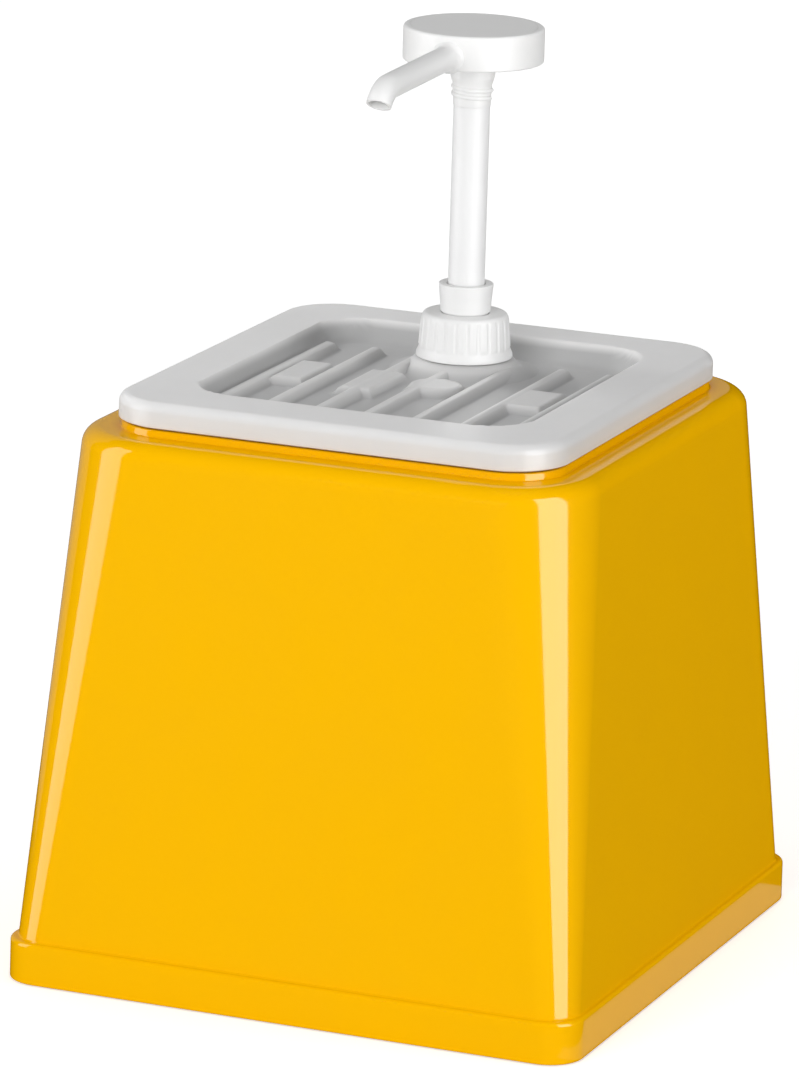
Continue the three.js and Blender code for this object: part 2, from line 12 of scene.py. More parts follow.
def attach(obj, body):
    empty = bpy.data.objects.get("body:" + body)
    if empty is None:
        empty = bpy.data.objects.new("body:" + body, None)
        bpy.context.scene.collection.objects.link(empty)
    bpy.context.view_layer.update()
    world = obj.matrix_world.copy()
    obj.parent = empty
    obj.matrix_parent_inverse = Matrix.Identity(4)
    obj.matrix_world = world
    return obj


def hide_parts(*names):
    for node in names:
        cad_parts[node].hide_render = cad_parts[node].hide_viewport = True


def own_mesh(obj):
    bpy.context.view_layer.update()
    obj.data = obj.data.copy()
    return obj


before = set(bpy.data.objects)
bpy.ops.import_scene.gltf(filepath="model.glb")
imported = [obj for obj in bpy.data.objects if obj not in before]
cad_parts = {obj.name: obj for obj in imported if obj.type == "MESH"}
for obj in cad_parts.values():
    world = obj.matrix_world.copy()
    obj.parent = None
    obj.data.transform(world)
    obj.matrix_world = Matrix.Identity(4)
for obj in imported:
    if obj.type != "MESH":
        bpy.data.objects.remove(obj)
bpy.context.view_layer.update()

scene = bpy.context.scene

# ---------- Studio ----------
# The dispenser stands on a pale sweep of paper. Soft boxes light it from the front, the sides
# and above, and two tall ones leave the long bright lines on the casing's round corners.

AZIMUTH = radians(21.66)
ELEVATION = radians(14.33)
ROLL = radians(1.71)
DISTANCE = 2.5261
TARGET = Vector((0, 0, 0.14893))

backward = Vector((sin(AZIMUTH) * cos(ELEVATION), -cos(AZIMUTH) * cos(ELEVATION), sin(ELEVATION)))
level_right = Vector((cos(AZIMUTH), sin(AZIMUTH), 0))
level_up = backward.cross(level_right)
right = cos(ROLL) * level_right + sin(ROLL) * level_up
up = cos(ROLL) * level_up - sin(ROLL) * level_right

camera = bpy.data.objects.new("camera", bpy.data.cameras.new("camera"))
scene.collection.objects.link(camera)
turn = Matrix((right, up, backward)).transposed().to_4x4()
camera.matrix_world = Matrix.Translation(TARGET + DISTANCE * backward) @ turn
camera.data.lens = 234
camera.data.sensor_width = 36
camera.data.shift_x = -0.0155
camera.data.clip_end = 60
scene.camera = camera


def wire(nodes, *joins):
    """Joins sockets in one tree, each join given as node, output, node, input."""
    for source, output, target, socket in joins:
        nodes.id_data.links.new(source.outputs[output], target.inputs[socket])


def add(nodes, kind, **values):
    """A new node with some of its inputs set."""
    node = nodes.new(kind)
    for socket, value in values.items():
        node.inputs[socket].default_value = value
    return node


def soft_box(name, azimuth, height, distance, width, tall, power, seen_in_gloss, lights_surfaces):
    """An area light that looks at the dispenser's middle. Azimuth 0 is in front, 90 its right."""
    light = bpy.data.lights.new(name, "AREA")
    light.shape = "RECTANGLE"
    light.size = width
    light.size_y = tall
    light.energy = power
    lamp = bpy.data.objects.new(name, light)
    scene.collection.objects.link(lamp)
    angle = radians(azimuth)
    place = Vector((sin(angle) * distance, -cos(angle) * distance, height))
    lamp.location = place
    lamp.rotation_euler = (Vector((0, 0, 0.15)) - place).to_track_quat("-Z", "Y").to_euler()
    lamp.visible_camera = False
    lamp.visible_glossy = seen_in_gloss
    lamp.visible_diffuse = lights_surfaces
    return lamp


soft_box("front_box", -4, 0.75, 2.4, 1.5, 1.1, 35.5, False, True)
soft_box("right_fill", 88, 0.6, 2.4, 1.1, 1.0, 22, False, True)
soft_box("left_fill", -84, 0.6, 2.4, 1.1, 1.0, 6.5, False, True)
soft_box("top_box", 10, 2.4, 0.3, 1.2, 1.2, 9, False, True)
soft_box("back_fill", 180, 0.7, 2.4, 1.3, 1.0, 13, False, True)
# Upright boxes that only reflections see. They end just below the table's edge.
for name, azimuth, width, power in (("right_strip", 67, 0.64, 13.9), ("left_strip", -57, 0.52, 6.2),
                                    ("left_back_glow", -132, 1.4, 1.5)):
    strip = soft_box(name, azimuth, 0.5, 1.0, width, 1.32, power, True, False)
    strip.rotation_euler = (radians(90), 0, radians(azimuth))
card = soft_box("table_card", 90, 0.0006, 0.1165, 0.014, 0.24, 0.0034, True, False)
card.location.y = 0
card.rotation_euler = (pi, 0, 0)

# The surroundings are pale to the eye and dark in reflections, as in a blacked-out studio
world = bpy.data.worlds.new("studio")
scene.world = world
world.use_nodes = True
nodes = world.node_tree.nodes
nodes.clear()
rays = nodes.new("ShaderNodeLightPath")
pale = add(nodes, "ShaderNodeBackground", Color=(1, 1, 1, 1), Strength=0.3)
dark = add(nodes, "ShaderNodeBackground", Strength=0.0)
white = add(nodes, "ShaderNodeBackground", Color=(1, 1, 1, 1))
by_gloss = nodes.new("ShaderNodeMixShader")
by_eye = nodes.new("ShaderNodeMixShader")
world_out = nodes.new("ShaderNodeOutputWorld")
wire(nodes, (rays, "Is Glossy Ray", by_gloss, "Fac"), (pale, 0, by_gloss, 1), (dark, 0, by_gloss, 2),
     (rays, "Is Camera Ray", by_eye, "Fac"), (by_gloss, 0, by_eye, 1), (white, 0, by_eye, 2),
     (by_eye, 0, world_out, "Surface"))

FLOOR_HALF = 25
floor_mesh = bpy.data.meshes.new("floor")
corners = [(-FLOOR_HALF, -FLOOR_HALF, 0), (FLOOR_HALF, -FLOOR_HALF, 0), (FLOOR_HALF, FLOOR_HALF, 0),
           (-FLOOR_HALF, FLOOR_HALF, 0)]
floor_mesh.from_pydata(corners, [], [(0, 1, 2, 3)])
floor = bpy.data.objects.new("floor", floor_mesh)
floor.location.z = -0.0004
scene.collection.objects.link(floor)
paper = bpy.data.materials.new("studio_paper")
paper.use_nodes = True
nodes = paper.node_tree.nodes
nodes.clear()
rays = nodes.new("ShaderNodeLightPath")
matte = add(nodes, "ShaderNodeBsdfDiffuse", Color=(0.82, 0.82, 0.82, 1))
glow = add(nodes, "ShaderNodeEmission", Strength=0.5)
lit = nodes.new("ShaderNodeAddShader")
for_eye = nodes.new("ShaderNodeMixShader")
paper_out = nodes.new("ShaderNodeOutputMaterial")
wire(nodes, (matte, 0, lit, 0), (glow, 0, lit, 1), (rays, "Is Camera Ray", for_eye, "Fac"),
     (matte, 0, for_eye, 1), (lit, 0, for_eye, 2), (for_eye, 0, paper_out, "Surface"))
floor_mesh.materials.append(paper)
floor.visible_glossy = False
scene.view_settings.view_transform = "Standard"

# ---------- Casing ----------
# The casing is one hollow moulding in polished yellow plastic, open below. Its walls lean in,
# their corners grow rounder with height, and a raised seat on top carries container and lid.

MM = 0.001
CORNER_STEPS = 20


def rounded_rectangle(half_x, half_y, corner, z, steps=CORNER_STEPS):
    """One level of a rounded rectangle, in millimetres, anticlockwise from the right side."""
    points = []
    for quarter, (sign_x, sign_y) in enumerate(((1, 1), (-1, 1), (-1, -1), (1, -1))):
        for step in range(steps + 1):
            angle = (quarter + step / steps) * pi / 2
            x = sign_x * (half_x - corner) + corner * cos(angle)
            y = sign_y * (half_y - corner) + corner * sin(angle)
            points.append((x, y, z))
    return points


def skin(levels, closes, steps=CORNER_STEPS):
    """Quads between levels. A ring of levels closes on itself, and a stack gets two end faces."""
    rings = [rounded_rectangle(*level, steps) for level in levels]
    count = len(rings[0])
    points = [point for ring in rings for point in ring]
    faces = []
    for band in range(len(rings) if closes else len(rings) - 1):
        low = band * count
        high = (band + 1) % len(rings) * count
        for i in range(count):
            after = (i + 1) % count
            faces.append((low + i, low + after, high + after, high + i))
    if not closes:
        last = (len(rings) - 1) * count
        faces.append(tuple(reversed(range(count))))
        faces.append(tuple(range(last, last + count)))
    return points, faces


def close_up(mesh):
    """Merges doubles, drops edges without a face and turns the faces outwards."""
    shape = bmesh.new()
    shape.from_mesh(mesh)
    bmesh.ops.remove_doubles(shape, verts=shape.verts, dist=1e-6)
    loose = [edge for edge in shape.edges if not edge.link_faces]
    bmesh.ops.delete(shape, geom=loose, context="EDGES")
    bmesh.ops.recalc_face_normals(shape, faces=shape.faces)
    shape.to_mesh(mesh)
    shape.free()


def new_object(name, points, faces):
    """An object at the origin from points in millimetres."""
    mesh = bpy.data.meshes.new(name)
    mesh.from_pydata([Vector(point) * MM for point in points], [], faces)
    close_up(mesh)
    item = bpy.data.objects.new(name, mesh)
    scene.collection.objects.link(item)
    return item


def settle(item):
    """Applies an object's modifiers to its mesh, so that nothing live is left on it."""
    bpy.context.view_layer.update()
    made = item.evaluated_get(bpy.context.evaluated_depsgraph_get())
    mesh = bpy.data.meshes.new_from_object(made)
    item.modifiers.clear()
    item.data = mesh
    return item


def smooth(item, sharp_angle=32):
    """Smooth shading that leaves flat faces flat and keeps real edges crisp."""
    item.data.shade_smooth()
    item.data.set_sharp_from_angle(angle=radians(sharp_angle))
    weigh = item.modifiers.new("weigh", "WEIGHTED_NORMAL")
    weigh.keep_sharp = True
    weigh.weight = 100
    return settle(item)


def combine(body, tools, operation):
    """Joins bodies to, or cuts them from, one body, and deletes them."""
    for tool in tools:
        change = body.modifiers.new("change", "BOOLEAN")
        change.solver = "EXACT"
        change.operation = operation
        change.object = tool
        settle(body)
        bpy.data.objects.remove(tool)
    return body


def group_sockets(tree, inputs, outputs):
    for name, kind, value in inputs:
        socket = tree.interface.new_socket(name, in_out="INPUT", socket_type=kind)
        socket.default_value = value
    for name, kind in outputs:
        tree.interface.new_socket(name, in_out="OUTPUT", socket_type=kind)


# Moulded plastic: a fine grain, slow flow waves from the mould, and a slightly uneven tint
moulding = bpy.data.node_groups.new("moulded plastic", "ShaderNodeTree")
group_sockets(moulding,
              [("Color", "NodeSocketColor", (0.8, 0.8, 0.8, 1)),
               ("Tint Change", "NodeSocketFloat", 0.04),
               ("Roughness", "NodeSocketFloat", 0.3),
               ("Roughness Change", "NodeSocketFloat", 0.08),
               ("Grain Scale", "NodeSocketFloat", 900),
               ("Grain Depth", "NodeSocketFloat", 0.05),
               ("Wave Scale", "NodeSocketFloat", 14),
               ("Wave Depth", "NodeSocketFloat", 0.1)],
              [("Color", "NodeSocketColor"), ("Roughness", "NodeSocketFloat"),
               ("Normal", "NodeSocketVector")])
nodes = moulding.nodes
entry = nodes.new("NodeGroupInput")
leave = nodes.new("NodeGroupOutput")
place = nodes.new("ShaderNodeTexCoord")
grain = add(nodes, "ShaderNodeTexNoise", Detail=3)
waves = add(nodes, "ShaderNodeTexNoise", Detail=1)
cloud = add(nodes, "ShaderNodeTexNoise", Scale=32, Detail=4)
for texture in (grain, waves, cloud):
    wire(nodes, (place, "Object", texture, "Vector"))
wire(nodes, (entry, "Grain Scale", grain, "Scale"), (entry, "Wave Scale", waves, "Scale"))
wave_bump = add(nodes, "ShaderNodeBump", Distance=0.001)
grain_bump = add(nodes, "ShaderNodeBump", Distance=0.00005)
wire(nodes, (waves, "Fac", wave_bump, "Height"), (entry, "Wave Depth", wave_bump, "Strength"),
     (grain, "Fac", grain_bump, "Height"), (entry, "Grain Depth", grain_bump, "Strength"),
     (wave_bump, "Normal", grain_bump, "Normal"), (grain_bump, "Normal", leave, "Normal"))
darker = nodes.new("ShaderNodeMix")
darker.data_type = "RGBA"
darker.blend_type = "MULTIPLY"
darker.inputs["B"].default_value = (0.0, 0.0, 0.0, 1)
amount = nodes.new("ShaderNodeMath")
amount.operation = "MULTIPLY"
wire(nodes, (cloud, "Fac", amount, 0), (entry, "Tint Change", amount, 1), (amount, 0, darker, "Factor"),
     (entry, "Color", darker, "A"), (darker, "Result", leave, "Color"))
uneven = nodes.new("ShaderNodeMath")
uneven.operation = "MULTIPLY_ADD"
wire(nodes, (cloud, "Fac", uneven, 0), (entry, "Roughness Change", uneven, 1),
     (entry, "Roughness", uneven, 2), (uneven, 0, leave, "Roughness"))


def plastic(name, color, group_values, shader_values):
    """A moulded plastic. Group values change over the surface, and shader values don't."""
    material = bpy.data.materials.new(name)
    material.use_nodes = True
    nodes = material.node_tree.nodes
    shader = nodes["Principled BSDF"]
    finish = nodes.new("ShaderNodeGroup")
    finish.node_tree = moulding
    finish.inputs["Color"].default_value = (*color, 1)
    for socket, value in group_values.items():
        finish.inputs[socket].default_value = value
    for socket, value in shader_values.items():
        shader.inputs[socket].default_value = value
    wire(nodes, (finish, "Color", shader, "Base Color"), (finish, "Roughness", shader, "Roughness"),
         (finish, "Normal", shader, "Normal"))
    return material


def place_on(item, body, node, material=None):
    """Says which body a piece rides on, which node it stands for and where its finish comes from."""
    if material:
        item.data.materials.clear()
        item.data.materials.append(material)
    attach(item, body)
    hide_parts(node)


WALL_FOOT_HALF = (106.73, 114.27)
WALL_TOP_HALF = (96.4, 103.9)
CASING_WALL = 2.6
BAND_HEIGHT = 15.3
LEDGE_Z = 198.8
LEDGE_FILLET = 6
CORNER_AT_FOOT = 13.2
CORNER_AT_TOP = 32.6
# Outlines: half sizes across and along, and the corner radius
FOOT_BAND = (108.93, 116.47, CORNER_AT_FOOT)
SEAT = (83, 91.7, 20.5)
SEAT_Z = 201.4
OPENING = (71, 78, 19)
LIP_Z = 192.5


def wall_level(z, inset):
    share = (z - BAND_HEIGHT) / (LEDGE_Z - BAND_HEIGHT)
    half_x, half_y = (foot + (top - foot) * share for foot, top in zip(WALL_FOOT_HALF, WALL_TOP_HALF))
    corner = CORNER_AT_FOOT + (CORNER_AT_TOP - CORNER_AT_FOOT) * share
    return half_x - inset, half_y - inset, corner - inset, z


def ledge_round(thickness, steps):
    radius = LEDGE_FILLET - thickness
    levels = []
    for step in range(steps + 1):
        angle = step / steps * pi / 2
        z = LEDGE_Z - LEDGE_FILLET + radius * sin(angle)
        levels.append(wall_level(z, LEDGE_FILLET - radius * cos(angle)))
    return levels


def rim_levels(outline, offsets):
    """Levels round one rounded rectangle, each given by how far out it stands and its height."""
    return [(*(size + out for size in outline), z) for out, z in offsets]


def arc(radius, centre_out, centre_z, start, end, steps):
    """Offsets and heights along an arc, with angles in degrees from straight outwards."""
    angles = [radians(start + (end - start) * step / steps) for step in range(steps + 1)]
    return [(centre_out + radius * cos(angle), centre_z + radius * sin(angle)) for angle in angles]


def cloudy(weight, depth, tint=(1, 1, 0.95), ior=1.49):
    """Shader values of a plastic that light sinks into, to a depth in metres."""
    return {"IOR": ior, "Subsurface Weight": weight, "Subsurface Radius": tint, "Subsurface Scale": depth}


FOOT_ROUND = 0.8
BAND_ROUND = 1.5
SEAT_ROUND = 0.6
casing_levels = [
    *rim_levels(FOOT_BAND, arc(FOOT_ROUND, -FOOT_ROUND, FOOT_ROUND, -90, 0, 5)),
    *rim_levels(FOOT_BAND, arc(BAND_ROUND, -BAND_ROUND - 0.1, BAND_HEIGHT - BAND_ROUND, 0, 90, 7)),
    wall_level(BAND_HEIGHT + 0.1, -0.35),
    wall_level(BAND_HEIGHT + 0.5, 0),
    wall_level(60, 0),
    wall_level(110, 0),
    wall_level(160, 0),
    *ledge_round(0, 12),
    *rim_levels(SEAT, [(0.8, LEDGE_Z), (0.3, LEDGE_Z + 0.15), (0.1, LEDGE_Z + 0.6)]),
    *rim_levels(SEAT, arc(SEAT_ROUND, -SEAT_ROUND, SEAT_Z - SEAT_ROUND, 0, 90, 4)),
    *rim_levels(OPENING, arc(SEAT_ROUND, SEAT_ROUND, SEAT_Z - SEAT_ROUND, 90, 180, 4)),
    *rim_levels(OPENING, arc(0.4, 0.4, LIP_Z + 0.4, 180, 270, 3)),
    *rim_levels(OPENING, arc(0.4, 1.6, LIP_Z + 0.4, 270, 360, 3)),
    *rim_levels(OPENING, [(2, SEAT_Z - CASING_WALL - 0.5), (2.5, SEAT_Z - CASING_WALL)]),
    *rim_levels(SEAT, [(-CASING_WALL, SEAT_Z - CASING_WALL), (-2, LEDGE_Z - CASING_WALL)]),
    *reversed(ledge_round(CASING_WALL, 6)),
    wall_level(BAND_HEIGHT + 0.5, CASING_WALL),
    *rim_levels(FOOT_BAND, [(-CASING_WALL, BAND_HEIGHT - CASING_WALL), (-CASING_WALL, 0.3)]),
    *rim_levels(FOOT_BAND, [(-CASING_WALL + 0.3, 0)]),
]
yellow_gloss = plastic(
    "polished_yellow_plastic", (0.95, 0.49, 0.0),
    {"Tint Change": 0.03, "Roughness": 0.07, "Roughness Change": 0.05, "Grain Scale": 1500,
     "Grain Depth": 0.02, "Wave Scale": 11, "Wave Depth": 0.10},
    {"IOR": 1.5, "Coat Weight": 0.0})
casing = smooth(new_object("casing_moulding", *skin(casing_levels, closes=True)))
place_on(casing, "casing", "casing_shell", yellow_gloss)

# ---------- Food container ----------
# A deep sixth-size pan, moulded in natural polypropylene. Its rim turns out and down, and
# stands on the casing's seat. Large fillets at its floor leave nothing for sauce to hide in.

PAN_MOUTH = (68, 75, 17)
PAN_FLOOR_HALF = (57, 64)
PAN_RIM = (82.2, 91, 19.6)
PAN_RIM_Z = 209.6
PAN_RIM_FOOT = 201.7
PAN_FLOOR_Z = 61.5
PAN_FILLET = 12
PAN_WALL = 2


def pan_bowl(thickness):
    """Levels of the bowl's skin from its floor up to under the rim."""
    radius = PAN_FILLET + thickness
    levels = []
    for step in range(11):
        angle = step / 10 * pi / 2
        inset = radius * (1 - sin(angle)) - thickness
        z = PAN_FLOOR_Z - thickness + radius * (1 - cos(angle))
        levels.append((PAN_FLOOR_HALF[0] - inset, PAN_FLOOR_HALF[1] - inset, 15 - inset, z))
    return levels


rim_in = -PAN_WALL
container_levels = [
    *pan_bowl(PAN_WALL),
    *rim_levels(PAN_MOUTH, [(1.9, PAN_RIM_Z - 5.2)]),
    *rim_levels(PAN_MOUTH, arc(3, 5, PAN_RIM_Z - 5, 180, 90, 6)),
    *rim_levels(PAN_RIM, arc(1.2, rim_in - 1.2, PAN_RIM_Z - PAN_WALL - 1.2, 90, 0, 4)),
    *rim_levels(PAN_RIM, [(rim_in, PAN_RIM_FOOT + 0.3), (rim_in + 0.3, PAN_RIM_FOOT)]),
    *rim_levels(PAN_RIM, arc(0.5, -0.5, PAN_RIM_FOOT + 0.5, -90, 0, 3)),
    *rim_levels(PAN_RIM, arc(3.2, -3.2, PAN_RIM_Z - 3.2, 0, 90, 8)),
    *rim_levels(PAN_MOUTH, arc(3, 3, PAN_RIM_Z - 3, 90, 180, 8)),
    *reversed(pan_bowl(0)),
]
natural = plastic(
    "natural_container_plastic", (0.70, 0.70, 0.69),
    {"Tint Change": 0.06, "Roughness": 0.3, "Roughness Change": 0.12, "Grain Scale": 1300,
     "Grain Depth": 0.12, "Wave Scale": 18, "Wave Depth": 0.2},
    cloudy(0.35, 0.004))
container = smooth(new_object("container_pan", *skin(container_levels, closes=False)))
place_on(container, "container", "food_container", natural)

# ---------- Lid ----------
# The lid is a satin moulding in natural polypropylene. A flat rim with a skirt surrounds a
# sunken panel with long ridges and a few pads, and a flared boss carries the pump's threaded neck.

LID_OUTLINE = (84.1, 92.9, 21.6)
LID_TOP = 211.35
LID_EDGE = 3.6
LID_WALL = 1.4
SKIRT_FOOT = 202.4
PANEL_Z = 203.7
PANEL_WALL = 1.6
PANEL_HALF = (63.5, 69.5)
PANEL_MIDDLE_Y = 1.5
PANEL_CORNER = 18
RIDGE_HALF = (4.5, 55)
RIDGE_MIDDLE_Y = -5
RIDGE_PITCH = 18.3
RIDGE_HEIGHT = 3.2
PUMP_Y = 41.55
BOSS_TOP = 208.6
BOSS_RADIUS = 17.4
NECK_RADIUS = 13.2
NECK_BORE = 11.4
NECK_TOP = 220.2


def calc(tree, operation, *values):
    """A Math node in a tree, fed by sockets or numbers."""
    node = tree.nodes.new("ShaderNodeMath")
    node.operation = operation
    for socket, value in zip(node.inputs, values):
        if isinstance(value, (int, float)):
            socket.default_value = value
        else:
            tree.links.new(value, socket)
    return node.outputs[0]


def start_tree(name, floats, has_geometry=True):
    """A Geometry Nodes tree with named inputs for sizes and a material."""
    tree = bpy.data.node_groups.new(name, "GeometryNodeTree")
    if has_geometry:
        tree.interface.new_socket("Geometry", in_out="INPUT", socket_type="NodeSocketGeometry")
    for label in floats:
        tree.interface.new_socket(label, in_out="INPUT", socket_type="NodeSocketFloat")
    tree.interface.new_socket("Material", in_out="INPUT", socket_type="NodeSocketMaterial")
    tree.interface.new_socket("Geometry", in_out="OUTPUT", socket_type="NodeSocketGeometry")
    return tree, tree.nodes.new("NodeGroupInput").outputs


def end_tree(tree, geometry, material):
    real = tree.nodes.new("GeometryNodeRealizeInstances")
    coat = tree.nodes.new("GeometryNodeSetMaterial")
    out = tree.nodes.new("NodeGroupOutput")
    tree.links.new(geometry, real.inputs["Geometry"])
    wire(tree.nodes, (real, "Geometry", coat, "Geometry"))
    tree.links.new(material, coat.inputs["Material"])
    wire(tree.nodes, (coat, "Geometry", out, "Geometry"))


def grow(item, tree, **values):
    """Runs a tree on an object with its inputs set by name, and keeps the plain mesh."""
    modifier = item.modifiers.new(tree.name, "NODES")
    modifier.node_group = tree
    for socket in tree.interface.items_tree:
        if socket.in_out == "INPUT" and socket.name in values:
            modifier[socket.identifier] = values[socket.name]
    return settle(item)


def empty_object(name):
    item = bpy.data.objects.new(name, bpy.data.meshes.new(name))
    scene.collection.objects.link(item)
    return item


def soft_step(tree, value, start, end):
    """0 below start and 1 above end, with soft shoulders."""
    node = tree.nodes.new("ShaderNodeMapRange")
    node.interpolation_type = "SMOOTHERSTEP"
    for label, number in (("Value", value), ("From Min", start), ("From Max", end)):
        if isinstance(number, (int, float)):
            node.inputs[label].default_value = number
        else:
            tree.links.new(number, node.inputs[label])
    return node.outputs["Result"]


def outside_distance(tree, x, y, half_x, half_y, corner):
    """Distance from a rounded rectangle's outline, below zero inside it."""
    across = calc(tree, "SUBTRACT", calc(tree, "ABSOLUTE", x), calc(tree, "SUBTRACT", half_x, corner))
    along = calc(tree, "SUBTRACT", calc(tree, "ABSOLUTE", y), calc(tree, "SUBTRACT", half_y, corner))
    out_x = calc(tree, "MAXIMUM", across, 0)
    out_y = calc(tree, "MAXIMUM", along, 0)
    square_x = calc(tree, "MULTIPLY", out_x, out_x)
    square_y = calc(tree, "MULTIPLY", out_y, out_y)
    away = calc(tree, "SQRT", calc(tree, "ADD", square_x, square_y))
    inner = calc(tree, "MINIMUM", calc(tree, "MAXIMUM", across, along), 0)
    return calc(tree, "SUBTRACT", calc(tree, "ADD", away, inner), corner)


# The ridges repeat across the panel. Pads and the disc join them at the same height.
PADS = [(-46.5, 0.5, 8.5, 17.5, 2), (-18.7, -1.5, 8.7, 18.5, 2), (44.2, -2, 9.7, 16, 2),
        (4.5, 3, 12, 12, 11.9)]
ridges, inputs = start_tree("ridged panel", ["Pitch", "Half Width", "Half Length", "Middle Y",
                                             "Height", "Slope"])
position = ridges.nodes.new("GeometryNodeInputPosition")
split = ridges.nodes.new("ShaderNodeSeparateXYZ")
wire(ridges.nodes, (position, 0, split, 0))
x_mm = calc(ridges, "DIVIDE", split.outputs["X"], MM)
y_mm = calc(ridges, "DIVIDE", split.outputs["Y"], MM)
half_pitch = calc(ridges, "MULTIPLY", inputs["Pitch"], 0.5)
folded = calc(ridges, "WRAP", x_mm, half_pitch, calc(ridges, "MULTIPLY", half_pitch, -1))
from_middle = calc(ridges, "SUBTRACT", y_mm, inputs["Middle Y"])
away = outside_distance(ridges, folded, from_middle, inputs["Half Width"], inputs["Half Length"], 3)
slope_start = calc(ridges, "MULTIPLY", inputs["Slope"], -1)
raised = calc(ridges, "SUBTRACT", 1, soft_step(ridges, away, slope_start, 0.25))
for pad_x, pad_y, pad_half_x, pad_half_y, pad_corner in PADS:
    pad_away = outside_distance(ridges, calc(ridges, "SUBTRACT", x_mm, pad_x),
                                calc(ridges, "SUBTRACT", y_mm, pad_y), pad_half_x, pad_half_y, pad_corner)
    pad = calc(ridges, "SUBTRACT", 1, soft_step(ridges, pad_away, slope_start, 0.25))
    raised = calc(ridges, "MAXIMUM", raised, calc(ridges, "MULTIPLY", pad, 0.93))
inside_panel = calc(ridges, "LESS_THAN", calc(ridges, "ABSOLUTE", x_mm), 60)
is_top = ridges.nodes.new("GeometryNodeInputNamedAttribute")
is_top.data_type = "FLOAT"
is_top.inputs["Name"].default_value = "panel"
lift = calc(ridges, "MULTIPLY", raised, calc(ridges, "MULTIPLY", inputs["Height"], MM))
lift = calc(ridges, "MULTIPLY", calc(ridges, "MULTIPLY", lift, inside_panel), is_top.outputs["Attribute"])
upward = ridges.nodes.new("ShaderNodeCombineXYZ")
ridges.links.new(lift, upward.inputs["Z"])
shift = ridges.nodes.new("GeometryNodeSetPosition")
ridges.links.new(inputs["Geometry"], shift.inputs["Geometry"])
wire(ridges.nodes, (upward, 0, shift, "Offset"))
end_tree(ridges, shift.outputs["Geometry"], inputs["Material"])


def inside_distance(x, y):
    """How far a point lies inside the panel's outline."""
    across = abs(x) - (PANEL_HALF[0] - PANEL_CORNER)
    along = abs(y - PANEL_MIDDLE_Y) - (PANEL_HALF[1] - PANEL_CORNER)
    away = hypot(max(across, 0), max(along, 0)) + min(max(across, along), 0)
    return PANEL_CORNER - away


def eased(share):
    share = min(max(share, 0), 1)
    return share * share * share * (share * (share * 6 - 15) + 10)


def hollowed(share):
    """How far down the recess's side has come: a crisp edge at the rim, then a wide round foot."""
    share = min(max(share, 0), 1)
    edge = 0.14
    turned_over = share * share / (2 * edge) if share < edge else share - edge / 2
    return 1 - (1 - turned_over / (1 - edge / 2)) ** 2.3


def panel_height(depth_in):
    """Height of the lid's upper skin: flat rim, hollow side, sunken panel."""
    return LID_TOP - (LID_TOP - PANEL_Z) * hollowed(depth_in / 9)


def under_height(depth_in):
    under_rim = LID_TOP - LID_WALL
    return under_rim - (under_rim - PANEL_Z + PANEL_WALL) * hollowed((depth_in + 1.4) / 9)


def panel_lines(half, edges):
    """Grid lines from one side to the other, close together near the given edges."""
    fine = 0.45
    reach = 3.2
    lines = {-half, half}
    value = -half
    while value < half - 0.2:
        near = min((abs(value + fine / 2 - edge) for edge in edges), default=9)
        value = value + (fine if near < reach else 1.3)
        lines.add(min(value, half))
    return sorted(lines)


GRID_HALF = (71, 79)
edges_x = [i * RIDGE_PITCH + side * RIDGE_HALF[0] for i in range(-3, 4) for side in (-1, 1)]
edges_y = [RIDGE_MIDDLE_Y - RIDGE_HALF[1], RIDGE_MIDDLE_Y + RIDGE_HALF[1], -19, 17]
lines_x = panel_lines(GRID_HALF[0], edges_x)
lines_y = panel_lines(GRID_HALF[1], edges_y)


def panel_sheet(shape, height_of, tag, value):
    """A grid sheet of the panel, with a tag that says which sheet gets the ridges."""
    grid = []
    for y in lines_y:
        row = []
        for x in lines_x:
            vert = shape.verts.new(Vector((x, y, height_of(inside_distance(x, y)))) * MM)
            vert[tag] = value
            row.append(vert)
        grid.append(row)
    for low, high in zip(grid, grid[1:]):
        for i in range(len(low) - 1):
            shape.faces.new((low[i], low[i + 1], high[i + 1], high[i]))
    outline = [*grid[0], *(row[-1] for row in grid[1:]), *reversed(grid[-1][:-1]),
               *(row[0] for row in reversed(grid[1:-1]))]
    return outline


def flat_margin(shape, inner, outer):
    """Fills the flat strip between a sheet's outline and the rim's innermost level."""
    made = []
    for ring in (inner, outer):
        for vert, after in zip(ring, ring[1:] + ring[:1]):
            made.append(shape.edges.get((vert, after)) or shape.edges.new((vert, after)))
    bmesh.ops.triangle_fill(shape, use_beauty=True, use_dissolve=False, edges=made)


lid_levels = [
    *rim_levels(LID_OUTLINE, [(-6.4, LID_TOP - LID_WALL)]),
    *rim_levels(LID_OUTLINE, arc(LID_EDGE - LID_WALL, -LID_EDGE, LID_TOP - LID_EDGE, 90, 0, 8)),
    *rim_levels(LID_OUTLINE, [(-LID_WALL, SKIRT_FOOT + 0.3), (-LID_WALL + 0.3, SKIRT_FOOT)]),
    *rim_levels(LID_OUTLINE, arc(0.4, -0.4, SKIRT_FOOT + 0.4, -90, 0, 4)),
    *rim_levels(LID_OUTLINE, arc(LID_EDGE, -LID_EDGE, LID_TOP - LID_EDGE, 0, 90, 12)),
    *rim_levels(LID_OUTLINE, [(-6.4, LID_TOP)]),
]
lid_points, lid_faces = skin(lid_levels, closes=False)
ring_size = len(lid_points) // len(lid_levels)
shape = bmesh.new()
panel_tag = shape.verts.layers.float.new("panel")
rim_verts = [shape.verts.new(Vector(point) * MM) for point in lid_points]
for face in lid_faces[:-2]:
    shape.faces.new([rim_verts[i] for i in face])
under_ring = panel_sheet(shape, under_height, panel_tag, 0.0)
top_ring = panel_sheet(shape, panel_height, panel_tag, 1.0)
